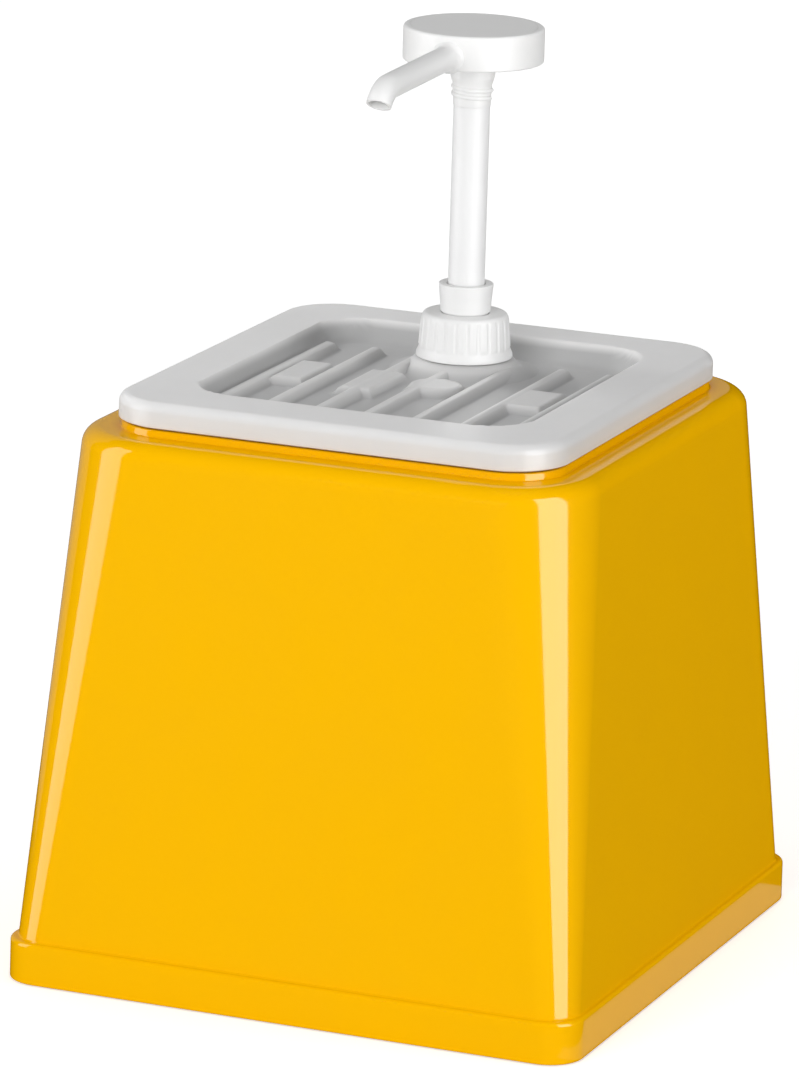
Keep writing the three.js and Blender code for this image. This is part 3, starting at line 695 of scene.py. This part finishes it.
flat_margin(shape, under_ring, rim_verts[:ring_size])
flat_margin(shape, top_ring, rim_verts[-ring_size:])
bmesh.ops.recalc_face_normals(shape, faces=shape.faces)
lid_mesh = bpy.data.meshes.new("lid_moulding")
shape.to_mesh(lid_mesh)
shape.free()
lid = bpy.data.objects.new("lid_moulding", lid_mesh)
scene.collection.objects.link(lid)

LID_COLOR = (0.76, 0.755, 0.75)
RECESS_SHADE_COLOR = (0.46, 0.46, 0.46)
satin = plastic(
    "satin_lid_plastic", LID_COLOR,
    {"Tint Change": 0.08, "Roughness": 0.27, "Roughness Change": 0.1, "Grain Scale": 1100,
     "Grain Depth": 0.12, "Wave Scale": 22, "Wave Depth": 0.2},
    cloudy(0.4, 0.004, (1, 0.97, 0.9)))
# Painted shade: the lid's colour is darkened over the sunken panel, standing in for light lost through the thin
# moulding into the empty pan, and the ridge tops and pads are painted lighter than the troughs
nodes = satin.node_tree.nodes
painted_recess_shade = nodes.new("ShaderNodeAttribute")
painted_recess_shade.attribute_name = "painted_recess_shade"
grey = nodes.new("ShaderNodeMix")
grey.data_type = "RGBA"
grey.inputs["A"].default_value = (*LID_COLOR, 1)
grey.inputs["B"].default_value = (*RECESS_SHADE_COLOR, 1)
wire(nodes, (painted_recess_shade, "Fac", grey, "Factor"), (grey, "Result", nodes["Group"], "Color"))
grow(lid, ridges, Pitch=RIDGE_PITCH, Height=RIDGE_HEIGHT, Slope=4.2, Material=satin,
     **{"Half Width": RIDGE_HALF[0], "Half Length": RIDGE_HALF[1], "Middle Y": float(RIDGE_MIDDLE_Y)})


def turned(name, profile, segments=128, y=PUMP_Y, closes=True):
    """A turned piece round an upright axis, from a profile of (radius, height) points.
    The profile closes on itself, or is open with a flat face at each end that is off the axis."""
    points = []
    for i in range(segments):
        angle = 2 * pi * i / segments
        points += [(radius * cos(angle), y + radius * sin(angle), z) for radius, z in profile]
    count = len(profile)
    faces = []
    for i in range(segments):
        here = i * count
        there = (i + 1) % segments * count
        for j in range(count if closes else count - 1):
            after = (j + 1) % count
            faces.append((here + j, there + j, there + after, here + after))
    for end in () if closes else (0, count - 1):
        if profile[end][0] > 0:
            faces.append(tuple(range(end, len(points), count)))
    return new_object(name, points, faces)


def bend(radius, x, z, start, end, steps=6):
    """Profile points round an arc with its centre at (x, z)."""
    angles = [radians(start + (end - start) * step / steps) for step in range(steps + 1)]
    return [(x + radius * cos(angle), z + radius * sin(angle)) for angle in angles]


# A wire or rib wound on a helix: the pump's spring and all of its screw threads
wound, inputs = start_tree("wound rib", ["Radius", "Bottom", "Lead", "Turns", "Half Width",
                                         "Half Depth"], False)
coil = add(wound.nodes, "GeometryNodeCurveSpiral", Resolution=64)
wound.links.new(inputs["Turns"], coil.inputs["Rotations"])
radius_m = calc(wound, "MULTIPLY", inputs["Radius"], MM)
wound.links.new(radius_m, coil.inputs["Start Radius"])
wound.links.new(radius_m, coil.inputs["End Radius"])
rise = calc(wound, "MULTIPLY", calc(wound, "MULTIPLY", inputs["Lead"], inputs["Turns"]), MM)
wound.links.new(rise, coil.inputs["Height"])
section = add(wound.nodes, "GeometryNodeCurvePrimitiveCircle", Resolution=12, Radius=1)
squeeze = wound.nodes.new("GeometryNodeTransform")
wire(wound.nodes, (section, "Curve", squeeze, "Geometry"))
sizes = wound.nodes.new("ShaderNodeCombineXYZ")
wound.links.new(calc(wound, "MULTIPLY", inputs["Half Depth"], MM), sizes.inputs["X"])
wound.links.new(calc(wound, "MULTIPLY", inputs["Half Width"], MM), sizes.inputs["Y"])
sizes.inputs["Z"].default_value = 1
wire(wound.nodes, (sizes, 0, squeeze, "Scale"))
upright = wound.nodes.new("GeometryNodeSetCurveNormal")
upright.mode = "Z_UP"
wire(wound.nodes, (coil, "Curve", upright, "Curve"))
tube = wound.nodes.new("GeometryNodeCurveToMesh")
tube.inputs["Fill Caps"].default_value = True
wire(wound.nodes, (upright, "Curve", tube, "Curve"), (squeeze, "Geometry", tube, "Profile Curve"))
shift = wound.nodes.new("GeometryNodeTransform")
spot = add(wound.nodes, "ShaderNodeCombineXYZ", Y=PUMP_Y * MM)
wound.links.new(calc(wound, "MULTIPLY", inputs["Bottom"], MM), spot.inputs["Z"])
wire(wound.nodes, (spot, 0, shift, "Translation"), (tube, "Mesh", shift, "Geometry"))
end_tree(wound, shift.outputs["Geometry"], inputs["Material"])


def wound_rib(name, radius, bottom, lead, turns, half_width, half_depth, material):
    item = grow(empty_object(name), wound, Radius=radius, Bottom=bottom, Lead=lead, Turns=turns,
                Material=material, **{"Half Width": half_width, "Half Depth": half_depth})
    close_up(item.data)
    return item


boss_profile = [
    (NECK_BORE, PANEL_Z - PANEL_WALL - 1), (24, PANEL_Z - PANEL_WALL), (28, PANEL_Z - 0.3),
    (27, PANEL_Z + 0.05),
    (24.2, PANEL_Z + 0.55), (21.6, PANEL_Z + 1.5), (19.6, PANEL_Z + 2.9), (18.4, PANEL_Z + 4.2),
    (BOSS_RADIUS, BOSS_TOP - 0.4), (BOSS_RADIUS - 0.4, BOSS_TOP), (NECK_RADIUS + 0.5, BOSS_TOP),
    (NECK_RADIUS, BOSS_TOP + 0.5), *bend(0.4, NECK_RADIUS - 0.4, NECK_TOP - 0.4, 0, 90, 3),
    (NECK_BORE, NECK_TOP),
]
boss = turned("lid_boss", boss_profile)
neck_thread = wound_rib("neck_thread", NECK_RADIUS, 211.6, 4.0, 1.75, 0.6, 0.75, satin)
bore = turned("lid_bore", [(NECK_BORE, 190), (NECK_BORE, 230)], closes=False)
combine(lid, [bore], "DIFFERENCE")
combine(lid, [boss, neck_thread], "UNION")
smooth(lid, 40)
# Painted shade amounts per point: none on the flat rim, full down the recess's side and in the troughs, less on the
# raised ridges and pads
recess_shade_layer = lid.data.attributes.new("painted_recess_shade", "FLOAT", "POINT")
for vert, value in zip(lid.data.vertices, recess_shade_layer.data):
    x, y, z = vert.co / MM
    depth_in = inside_distance(x, y)
    inner_share = eased((depth_in - 6) / 4)
    raised = min(max((z - PANEL_Z) / RIDGE_HEIGHT, 0), 1)
    value.value = eased(depth_in / 2.5) * (1 - 0.62 * raised * inner_share)
place_on(lid, "lid", "lid", satin)
# A soft light rakes over the lid alone from behind its left side, and draws out the ridges
rake = soft_box("lid_rake", -108, 0.95, 1.0, 0.5, 0.5, 7, False, True)
lit_by_rake = bpy.data.collections.new("lit_by_rake")
lit_by_rake.objects.link(lid)
rake.light_linking.receiver_collection = lit_by_rake

# ---------- Pump barrel, foot valve and dip tube ----------
# The barrel hangs from the lid's neck into the sauce, in natural polypropylene. Its foot valve
# body is pushed in from below and holds a steel ball, and a soft tube reaches to the floor.

BARREL_RADIUS = 11
BARREL_BORE = 9.7
FLANGE_RADIUS = 13.2
FLANGE_FOOT = 221.8
FLANGE_TOP = 223.12
SNAP_RING = 8.75
pale_plastic = plastic(
    "natural_pump_plastic", (0.78, 0.78, 0.765),
    {"Tint Change": 0.05, "Roughness": 0.34, "Roughness Change": 0.1, "Grain Scale": 1500,
     "Grain Depth": 0.1, "Wave Scale": 40, "Wave Depth": 0.15},
    cloudy(0.3, 0.003))
barrel = turned("barrel_tube", [
    (BARREL_RADIUS, 96.4), (BARREL_RADIUS, FLANGE_FOOT),
    *bend(0.25, FLANGE_RADIUS - 0.25, FLANGE_FOOT + 0.25, -90, 0, 3),
    *bend(0.25, FLANGE_RADIUS - 0.25, FLANGE_TOP - 0.25, 0, 90, 3), (SNAP_RING + 0.2, FLANGE_TOP),
    (SNAP_RING, FLANGE_TOP - 0.2), (SNAP_RING, 219.6), (BARREL_BORE, 218.9), (BARREL_BORE, 96.3),
    (BARREL_BORE + 0.3, 96), (BARREL_RADIUS - 0.3, 96)])
place_on(smooth(barrel), "pump_housing", "pump_barrel", pale_plastic)

foot_valve = turned("foot_valve_body", [
    (5.7, 72), (5.9, 72.3), (6.2, 83.5), (6.9, 84.8), (10.3, 91.2), (11, 92.4), (11, 95.4), (10.8, 95.7),
    (9.4, 95.7), (9.4, 100.6), (9.1, 101), (6.3, 101), (6, 100.7), (6, 92), (3.2, 88), (3.2, 84), (4.7, 84),
    (4.7, 72.3), (5, 72)], 96)
place_on(smooth(foot_valve), "pump_housing", "foot_valve_body", pale_plastic)


def ball_cage(name, radius, bottom, top, hole_radius, hole_circle):
    """A drilled disc that stops a ball and lets the sauce past it."""
    edge = 0.2
    disc = turned(name, [
        (radius - edge, bottom), (radius, bottom + edge), (radius, top - edge), (radius - edge, top)],
        96, closes=False)
    holes = []
    for i in range(4):
        angle = (i + 0.5) * pi / 2
        hole = turned("hole", [(hole_radius, bottom - 1), (hole_radius, top + 1)], 32, y=0, closes=False)
        hole.data.transform(Matrix.Translation(
            Vector((hole_circle * cos(angle), PUMP_Y + hole_circle * sin(angle), 0)) * MM))
        holes.append(hole)
    return smooth(combine(disc, holes, "DIFFERENCE"))


place_on(ball_cage("foot_cage_disc", 9.3, 101.3, 102.5, 1.9, 5), "pump_housing", "foot_ball_cage",
         pale_plastic)

tube_profile = [(3.35, 65), (4.25, 65), (4.4, 65.15), (4.4, 83.6), (4.3, 83.7), (3.3, 83.7), (3.2, 83.6),
                (3.2, 65.15)]
tube = turned("suction_tube", tube_profile, 96)
slant = new_object("slant", *skin([(12, 12, 1, -12), (12, 12, 1, 0)], closes=False, steps=2))
slant_place = Matrix.Translation(Vector((0, PUMP_Y, 67.5)) * MM)
slant.data.transform(slant_place @ Matrix.Rotation(radians(30), 4, "X"))
combine(tube, [slant], "DIFFERENCE")
tube_plastic = plastic(
    "soft_tube_plastic", (0.74, 0.74, 0.72),
    {"Tint Change": 0.05, "Roughness": 0.25, "Roughness Change": 0.1, "Grain Scale": 1200,
     "Grain Depth": 0.08, "Wave Scale": 60, "Wave Depth": 0.2},
    cloudy(0.4, 0.003, ior=1.5))
place_on(smooth(tube), "pump_housing", "dip_tube", tube_plastic)

# ---------- Seals ----------
# Three food-grade elastomer rings: a flat gasket under the barrel's flange, a wiper that
# cleans the stem, and the piston's double-lipped seal. Each has a dull skin with a fine bloom.

rubber = plastic(
    "grey_elastomer", (0.165, 0.17, 0.178),
    {"Tint Change": 0.2, "Roughness": 0.55, "Roughness Change": 0.2, "Grain Scale": 1800,
     "Grain Depth": 0.25, "Wave Scale": 60, "Wave Depth": 0.1},
    {"IOR": 1.45})
GASKET_FOOT = 220.5
GASKET_TOP = 221.5
gasket = turned("flat_gasket", [
    (11.55, GASKET_FOOT), (12.8, GASKET_FOOT), (13, GASKET_FOOT + 0.2), (13, GASKET_TOP - 0.2),
    (12.8, GASKET_TOP), (11.55, GASKET_TOP), (11.4, GASKET_TOP - 0.15), (11.4, GASKET_FOOT + 0.15)])
place_on(smooth(gasket, 50), "pump_housing", "neck_gasket", rubber)
wiper = turned("wiper_ring", [
    (7.1, 226.5), (7.85, 226.5), (8, 226.65), (8, 227.8), (7.9, 227.95), (7.5, 228.2), (7.2, 228.1),
    (6.95, 227.8), (7.05, 227.2), (6.95, 226.6)], 96)
place_on(smooth(wiper, 50), "pump_housing", "stem_wiper", rubber)
seal = turned("piston_seal_ring", [
    (8.5, 204.3), (8.9, 203.5), (9.1, 203.3), (9.4, 203.32), (9.45, 203.5), (9.2, 205),
    (9.12, 207.3), (9.2, 209.6), (9.45, 211.2), (9.4, 211.38), (9.1, 211.4), (8.9, 211.2), (8.5, 210.5)], 96)
place_on(smooth(seal, 60), "plunger", "piston_seal", rubber)

# ---------- Balls and return spring ----------
# Two polished stainless balls close the valves, and a coil of drawn stainless wire with closed
# ends lifts the piston. The wire keeps fine lines along it from drawing.

SPRING_RADIUS = 8.3
WIRE_RADIUS = 0.7
SPRING_FOOT = 102.9
SPRING_TOP = 199.9
SPRING_TURNS = 12


def steel(name, color, roughness, scratch_scale, scratch_depth):
    """Bare stainless steel with fine lines and an uneven polish."""
    material = bpy.data.materials.new(name)
    material.use_nodes = True
    nodes = material.node_tree.nodes
    shader = nodes["Principled BSDF"]
    shader.inputs["Metallic"].default_value = 1
    spot = nodes.new("ShaderNodeTexCoord")
    stretch = add(nodes, "ShaderNodeMapping", Scale=(1, 1, 9))
    lines = add(nodes, "ShaderNodeTexNoise", Scale=scratch_scale, Detail=3)
    bump = add(nodes, "ShaderNodeBump", Strength=scratch_depth, Distance=0.00002)
    polish = nodes.new("ShaderNodeMapRange")
    polish.inputs["To Min"].default_value = roughness
    polish.inputs["To Max"].default_value = roughness + 0.12
    tint = nodes.new("ShaderNodeMix")
    tint.data_type = "RGBA"
    tint.inputs["A"].default_value = (*color, 1)
    tint.inputs["B"].default_value = (*(0.85 * value for value in color), 1)
    wire(nodes, (spot, "Object", stretch, "Vector"), (stretch, "Vector", lines, "Vector"),
         (lines, "Fac", bump, "Height"), (lines, "Fac", polish, "Value"),
         (lines, "Fac", tint, "Factor"), (tint, "Result", shader, "Base Color"),
         (polish, "Result", shader, "Roughness"), (bump, "Normal", shader, "Normal"))
    return material


def ball(name, radius, z):
    """A ball turned from a half circle, with its poles closed to a point."""
    half_circle = bend(radius, 0, z, -90, 90, 40)
    points = [(max(x, 0.0), height) for x, height in half_circle]
    return turned(name, points, 80, closes=False)


ball_steel = steel("polished_ball_steel", (0.62, 0.63, 0.65), 0.08, 400, 0.1)
place_on(smooth(ball("lower_ball", 4.75, 92.15)), "foot_ball", "foot_ball", ball_steel)
place_on(smooth(ball("upper_ball", 3.4, 197.1)), "discharge_ball", "discharge_ball", ball_steel)

wire_steel = steel("drawn_wire_steel", (0.56, 0.57, 0.59), 0.22, 900, 0.4)
spring_lead = (SPRING_TOP - SPRING_FOOT - 2 * WIRE_RADIUS) / SPRING_TURNS
spring = wound_rib("coil_spring", SPRING_RADIUS, SPRING_FOOT + WIRE_RADIUS, spring_lead, float(SPRING_TURNS),
                   WIRE_RADIUS, WIRE_RADIUS, wire_steel)
place_on(smooth(spring, 50), "pump_housing", "return_spring", wire_steel)
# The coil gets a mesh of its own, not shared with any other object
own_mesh(spring)

# ---------- Piston ----------
# The piston is a turned polypropylene body on the stem's lower end. A snap-on retainer holds
# its seal and takes the spring's push, and a drilled disc keeps the upper ball in its chamber.

piston = turned("piston_core", [
    (6.1, 190), (6.3, 190.2), (6.3, 200), (7, 200), (7, 203), (8.2, 203), (8.2, 211.7), (9.1, 211.7),
    (9.3, 211.9), (9.3, 213.5), (9.1, 213.7), (7.1, 213.7), (6.95, 213.5), (6.95, 205.6), (5.4, 205.6), (5.4, 203.7),
    (4.2, 203.7), (4.2, 197), (2.4, 194), (2.4, 190.2), (2.6, 190)], 96)
place_on(smooth(piston), "plunger", "piston_body", pale_plastic)
retainer = turned("seal_retainer", [
    (7.5, 200.3), (9, 200.3), (9.2, 200.5), (9.2, 202.4), (8.9, 203), (7.5, 203), (7.3, 202.8),
    (7.3, 200.5)], 96)
place_on(smooth(retainer), "plunger", "piston_retainer", pale_plastic)
place_on(ball_cage("upper_cage_disc", 5.1, 204, 205.3, 1.1, 3.2), "plunger", "discharge_ball_cage",
         pale_plastic)

# ---------- Screw cap ----------
# A white polypropylene nut clamps the pump to the lid's neck. Upright grip ribs run from its
# foot ring to a round shoulder, and a thread rib is wound inside.

CAP_FOOT = 208.95
CAP_TOP = 225.07
CAP_PLATE = 1.65
CAP_BORE = 14.6
CAP_HOLE = 8.75
RING_RADIUS = 17.6
RING_TOP = CAP_FOOT + 3.9
WALL_FOOT_RADIUS = 16.4
WALL_TOP_RADIUS = 15.6
SHOULDER = 1.5

grips, inputs = start_tree("grip ribs", ["Count", "Height", "Bottom", "Top", "Inner Radius", "Outer Radius"])
position = grips.nodes.new("GeometryNodeInputPosition")
split = grips.nodes.new("ShaderNodeSeparateXYZ")
wire(grips.nodes, (position, 0, split, 0))
x_mm = calc(grips, "DIVIDE", split.outputs["X"], MM)
y_mm = calc(grips, "SUBTRACT", calc(grips, "DIVIDE", split.outputs["Y"], MM), PUMP_Y)
z_mm = calc(grips, "DIVIDE", split.outputs["Z"], MM)
angle = calc(grips, "ARCTAN2", y_mm, x_mm)
wave = calc(grips, "COSINE", calc(grips, "MULTIPLY", angle, inputs["Count"]))
crest = soft_step(grips, wave, -0.85, -0.2)
squares = (calc(grips, "MULTIPLY", value, value) for value in (x_mm, y_mm))
span = calc(grips, "SQRT", calc(grips, "ADD", *squares))
outer_skin = calc(grips, "GREATER_THAN", span, inputs["Inner Radius"])
below_ring = calc(grips, "LESS_THAN", span, inputs["Outer Radius"])
rises = soft_step(grips, z_mm, inputs["Bottom"], calc(grips, "ADD", inputs["Bottom"], 0.3))
fade_start = calc(grips, "SUBTRACT", inputs["Top"], 2.2)
fades = calc(grips, "SUBTRACT", 1, soft_step(grips, z_mm, fade_start, inputs["Top"]))
push = calc(grips, "MULTIPLY", calc(grips, "MULTIPLY", crest, rises), fades)
push = calc(grips, "MULTIPLY", calc(grips, "MULTIPLY", push, outer_skin), below_ring)
push = calc(grips, "MULTIPLY", push, calc(grips, "MULTIPLY", inputs["Height"], MM))
outward = grips.nodes.new("ShaderNodeCombineXYZ")
grips.links.new(calc(grips, "MULTIPLY", calc(grips, "COSINE", angle), push), outward.inputs["X"])
grips.links.new(calc(grips, "MULTIPLY", calc(grips, "SINE", angle), push), outward.inputs["Y"])
shift = grips.nodes.new("GeometryNodeSetPosition")
grips.links.new(inputs["Geometry"], shift.inputs["Geometry"])
wire(grips.nodes, (outward, 0, shift, "Offset"))
end_tree(grips, shift.outputs["Geometry"], inputs["Material"])

white_gloss = plastic(
    "white_pump_plastic", (0.9, 0.9, 0.895),
    {"Tint Change": 0.02, "Roughness": 0.4, "Roughness Change": 0.06, "Grain Scale": 1500,
     "Grain Depth": 0.06, "Wave Scale": 30, "Wave Depth": 0.03},
    cloudy(0.2, 0.002, (1, 1, 1)))
wall_heights = [RING_TOP + 0.35 + i * (CAP_TOP - SHOULDER - RING_TOP - 0.35) / 14 for i in range(15)]
wall_profile = [(WALL_FOOT_RADIUS + (WALL_TOP_RADIUS - WALL_FOOT_RADIUS) * i / 14, z)
                for i, z in enumerate(wall_heights)]
cap = turned("cap_nut", [
    (CAP_BORE, CAP_FOOT + 0.3), (CAP_BORE + 0.3, CAP_FOOT),
    *bend(0.4, RING_RADIUS - 0.4, CAP_FOOT + 0.4, -90, 0, 5),
    (17.52, CAP_FOOT + 1.2), (17.25, CAP_FOOT + 1.8), (16.95, CAP_FOOT + 2.4), (16.7, CAP_FOOT + 3.0),
    (16.52, CAP_FOOT + 3.6), *wall_profile,
    *bend(SHOULDER, WALL_TOP_RADIUS - SHOULDER, CAP_TOP - SHOULDER, 8, 90, 8),
    (CAP_HOLE + 0.3, CAP_TOP), (CAP_HOLE, CAP_TOP - 0.3), (CAP_HOLE, CAP_TOP - CAP_PLATE),
    (CAP_BORE, CAP_TOP - CAP_PLATE)], 25 * 14)
grow(cap, grips, Count=25.0, Height=0.34, Bottom=RING_TOP + 0.1, Top=CAP_TOP - 0.5, Material=white_gloss,
     **{"Inner Radius": CAP_BORE + 0.4, "Outer Radius": WALL_FOOT_RADIUS + 0.2})
cap_thread = wound_rib("cap_thread", CAP_BORE, 209.9, 4.0, 1.6, 0.6, 0.7, white_gloss)
combine(cap, [cap_thread], "UNION")
place_on(smooth(cap, 40), "cap", "screw_cap", white_gloss)

# ---------- Chaplet ----------
# The chaplet is a white collar snapped into the barrel's mouth. It guides the stem, holds the
# wiper, and widens slightly towards its square-cut rim.

CHAPLET_TOP = 235.83
chaplet = turned("chaplet_collar", [
    (7.2, 214), (8.2, 214), (8.4, 214.2), (8.4, 217.5), (8.9, 217.75), (9.1, 217.95),
    (8.9, 218.4), (8.4, 219.1),
    (8.4, 225.37), (8.85, 225.37), (9.05, 225.6), (9.95, CHAPLET_TOP - 0.45),
    *bend(0.35, 9.6, CHAPLET_TOP - 0.35, 10, 90, 5), (7.4, CHAPLET_TOP), (7.15, CHAPLET_TOP - 0.25),
    (7.15, 233.4), (8.4, 232.6), (8.5, 230), (8.3, 229.8), (7.75, 229.8), (7.6, 229.65), (7.6, 228.5),
    (8.3, 228.5), (8.3, 226.2), (7, 226.2),
    (7, 214.2)])
place_on(smooth(chaplet), "pump_housing", "chaplet", white_gloss)

# ---------- Stem ----------
# The stem is a smooth extruded tube that carries sauce up to the head. Its top end steps in to
# a spigot, pressed into the head's collar.

COLLAR_FOOT = 301.3
stem = turned("stem_tube", [
    (6.45, 205.9), (6.65, 206.1), (6.65, 301.15), (6.55, 301.25), (5.2, 301.25), (5.2, 313.8), (5, 314),
    (4.4, 314),
    (4.2, 313.8), (4.2, 206.1), (4.4, 205.9)])
stem_white = plastic(
    "white_stem_plastic", (0.9, 0.9, 0.9),
    {"Tint Change": 0.02, "Roughness": 0.42, "Roughness Change": 0.06, "Grain Scale": 1500,
     "Grain Depth": 0.05, "Wave Scale": 22, "Wave Depth": 0.05},
    cloudy(0.2, 0.002, (1, 1, 1)))
place_on(smooth(stem), "head", "stem", stem_white)

# ---------- Head and its cover ----------
# The pump head is a white moulding: a threaded collar on the stem, a round push pad and a spout
# that turns down at its square-cut tip. A thin disc closes the pad's top.

HEAD_RADIUS = 25.51
HEAD_FOOT = 317.56
HEAD_TOP = 330.35
SPOUT_RADIUS = 4.55
SPOUT_BORE = 3.7
SPOUT_Z = 323.2
SPOUT_STRAIGHT = 79.5
SPOUT_DROP = 2.15
SPOUT_BEND = 12
SPOUT_DIP = radians(56)
ROOT_FLARE = 1.6
COVER_SEAT = HEAD_TOP - 2
COVER_RADIUS = 22.9


def spout_tube(name, radius, start, overrun, flare):
    """A round tube along the spout's middle line, wider where it leaves the pad."""
    slope = atan2(SPOUT_DROP, SPOUT_STRAIGHT)
    stations = []
    for y in [start, -20, *(-22 - 0.5 * i for i in range(16)), -34, -45, -56, -67]:
        stations.append((y, SPOUT_Z + y * tan(slope), slope))
    for step in range(25):
        angle = slope + (SPOUT_DIP - slope) * step / 24
        y = -SPOUT_STRAIGHT - SPOUT_BEND * (sin(angle) - sin(slope))
        z = SPOUT_Z - SPOUT_DROP - SPOUT_BEND * (cos(slope) - cos(angle))
        stations.append((y, z, angle))
    if overrun:
        y, z, angle = stations[-1]
        stations.append((y - overrun * cos(angle), z - overrun * sin(angle), angle))
    sides = 64
    points = []
    for y, z, angle in stations:
        gap = max(0, -y - HEAD_RADIUS + 0.6)
        wide = radius + flare * max(0, 1 - gap / 3) ** 2
        for i in range(sides):
            around = 2 * pi * i / sides
            up = wide * sin(around)
            points.append((wide * cos(around), PUMP_Y + y - up * sin(angle), z + up * cos(angle)))
    faces = [tuple(range(sides)), tuple(reversed(range(len(points) - sides, len(points))))]
    for station in range(len(stations) - 1):
        for i in range(sides):
            after = (i + 1) % sides
            low = station * sides
            faces.append((low + i, low + sides + i, low + sides + after, low + after))
    return new_object(name, points, faces)


head = turned("head_moulding", [
    (6.75, COLLAR_FOOT), (6.85, COLLAR_FOOT + 0.1), (6.9, 305), (7.05, 309.3), (7.35, 309.7),
    (7.9, 311.4), (8.1, 312), (8.15, 315.2), *bend(2.35, 10.5, HEAD_FOOT - 2.35, 180, 90, 8),
    *bend(0.9, HEAD_RADIUS - 0.9, HEAD_FOOT + 0.9, -90, 0, 6),
    *bend(1.2, HEAD_RADIUS - 1.2, HEAD_TOP - 1.2, 0, 90, 8),
    (COVER_RADIUS + 0.12, HEAD_TOP), (COVER_RADIUS + 0.06, HEAD_TOP - 0.06),
    (COVER_RADIUS + 0.06, COVER_SEAT),
    (22.3, COVER_SEAT), (22.3, HEAD_FOOT + 2.4), (21.7, HEAD_FOOT + 1.8), (8.6, HEAD_FOOT + 1.8),
    (8.2, HEAD_FOOT + 2.2), (8.2, HEAD_TOP - 3.2), (8, HEAD_TOP - 3)], 192, closes=False)
lock_thread = wound_rib("lock_thread", 6.95, 304.4, 2.6, 1.9, 0.85, 0.75, white_gloss)
spout = spout_tube("spout", SPOUT_RADIUS, -3, 0, ROOT_FLARE)
combine(head, [spout, lock_thread], "UNION")
channel = spout_tube("channel", SPOUT_BORE, -1, 2, 0)
socket = turned("socket", [(5.5, 296), (5.5, 314.3)], closes=False)
riser = turned("riser", [(4.2, 297), (4.2, SPOUT_Z + 2.6)], closes=False)
combine(head, [socket, riser, channel], "DIFFERENCE")
place_on(smooth(head, 38), "head", "pump_head", white_gloss)

cover = turned("cover_disc", [
    (20.3, COVER_SEAT + 0.3), (20.3, COVER_SEAT - 2.3), (21.6, COVER_SEAT - 2.3),
    (21.9, COVER_SEAT - 1.5), (21.6, COVER_SEAT + 0.3), (COVER_RADIUS, COVER_SEAT + 0.3),
    (COVER_RADIUS, HEAD_TOP - 0.06), (COVER_RADIUS - 0.06, HEAD_TOP)], 192, closes=False)
notch = new_object("notch", *skin([(5.5, 6, 1, 324.65), (5.5, 6, 1, 328.65)], closes=False, steps=3))
notch.data.transform(Matrix.Translation(Vector((0, PUMP_Y - 21, 0)) * MM))
combine(cover, [notch], "DIFFERENCE")
place_on(smooth(cover), "head", "head_cover", white_gloss)
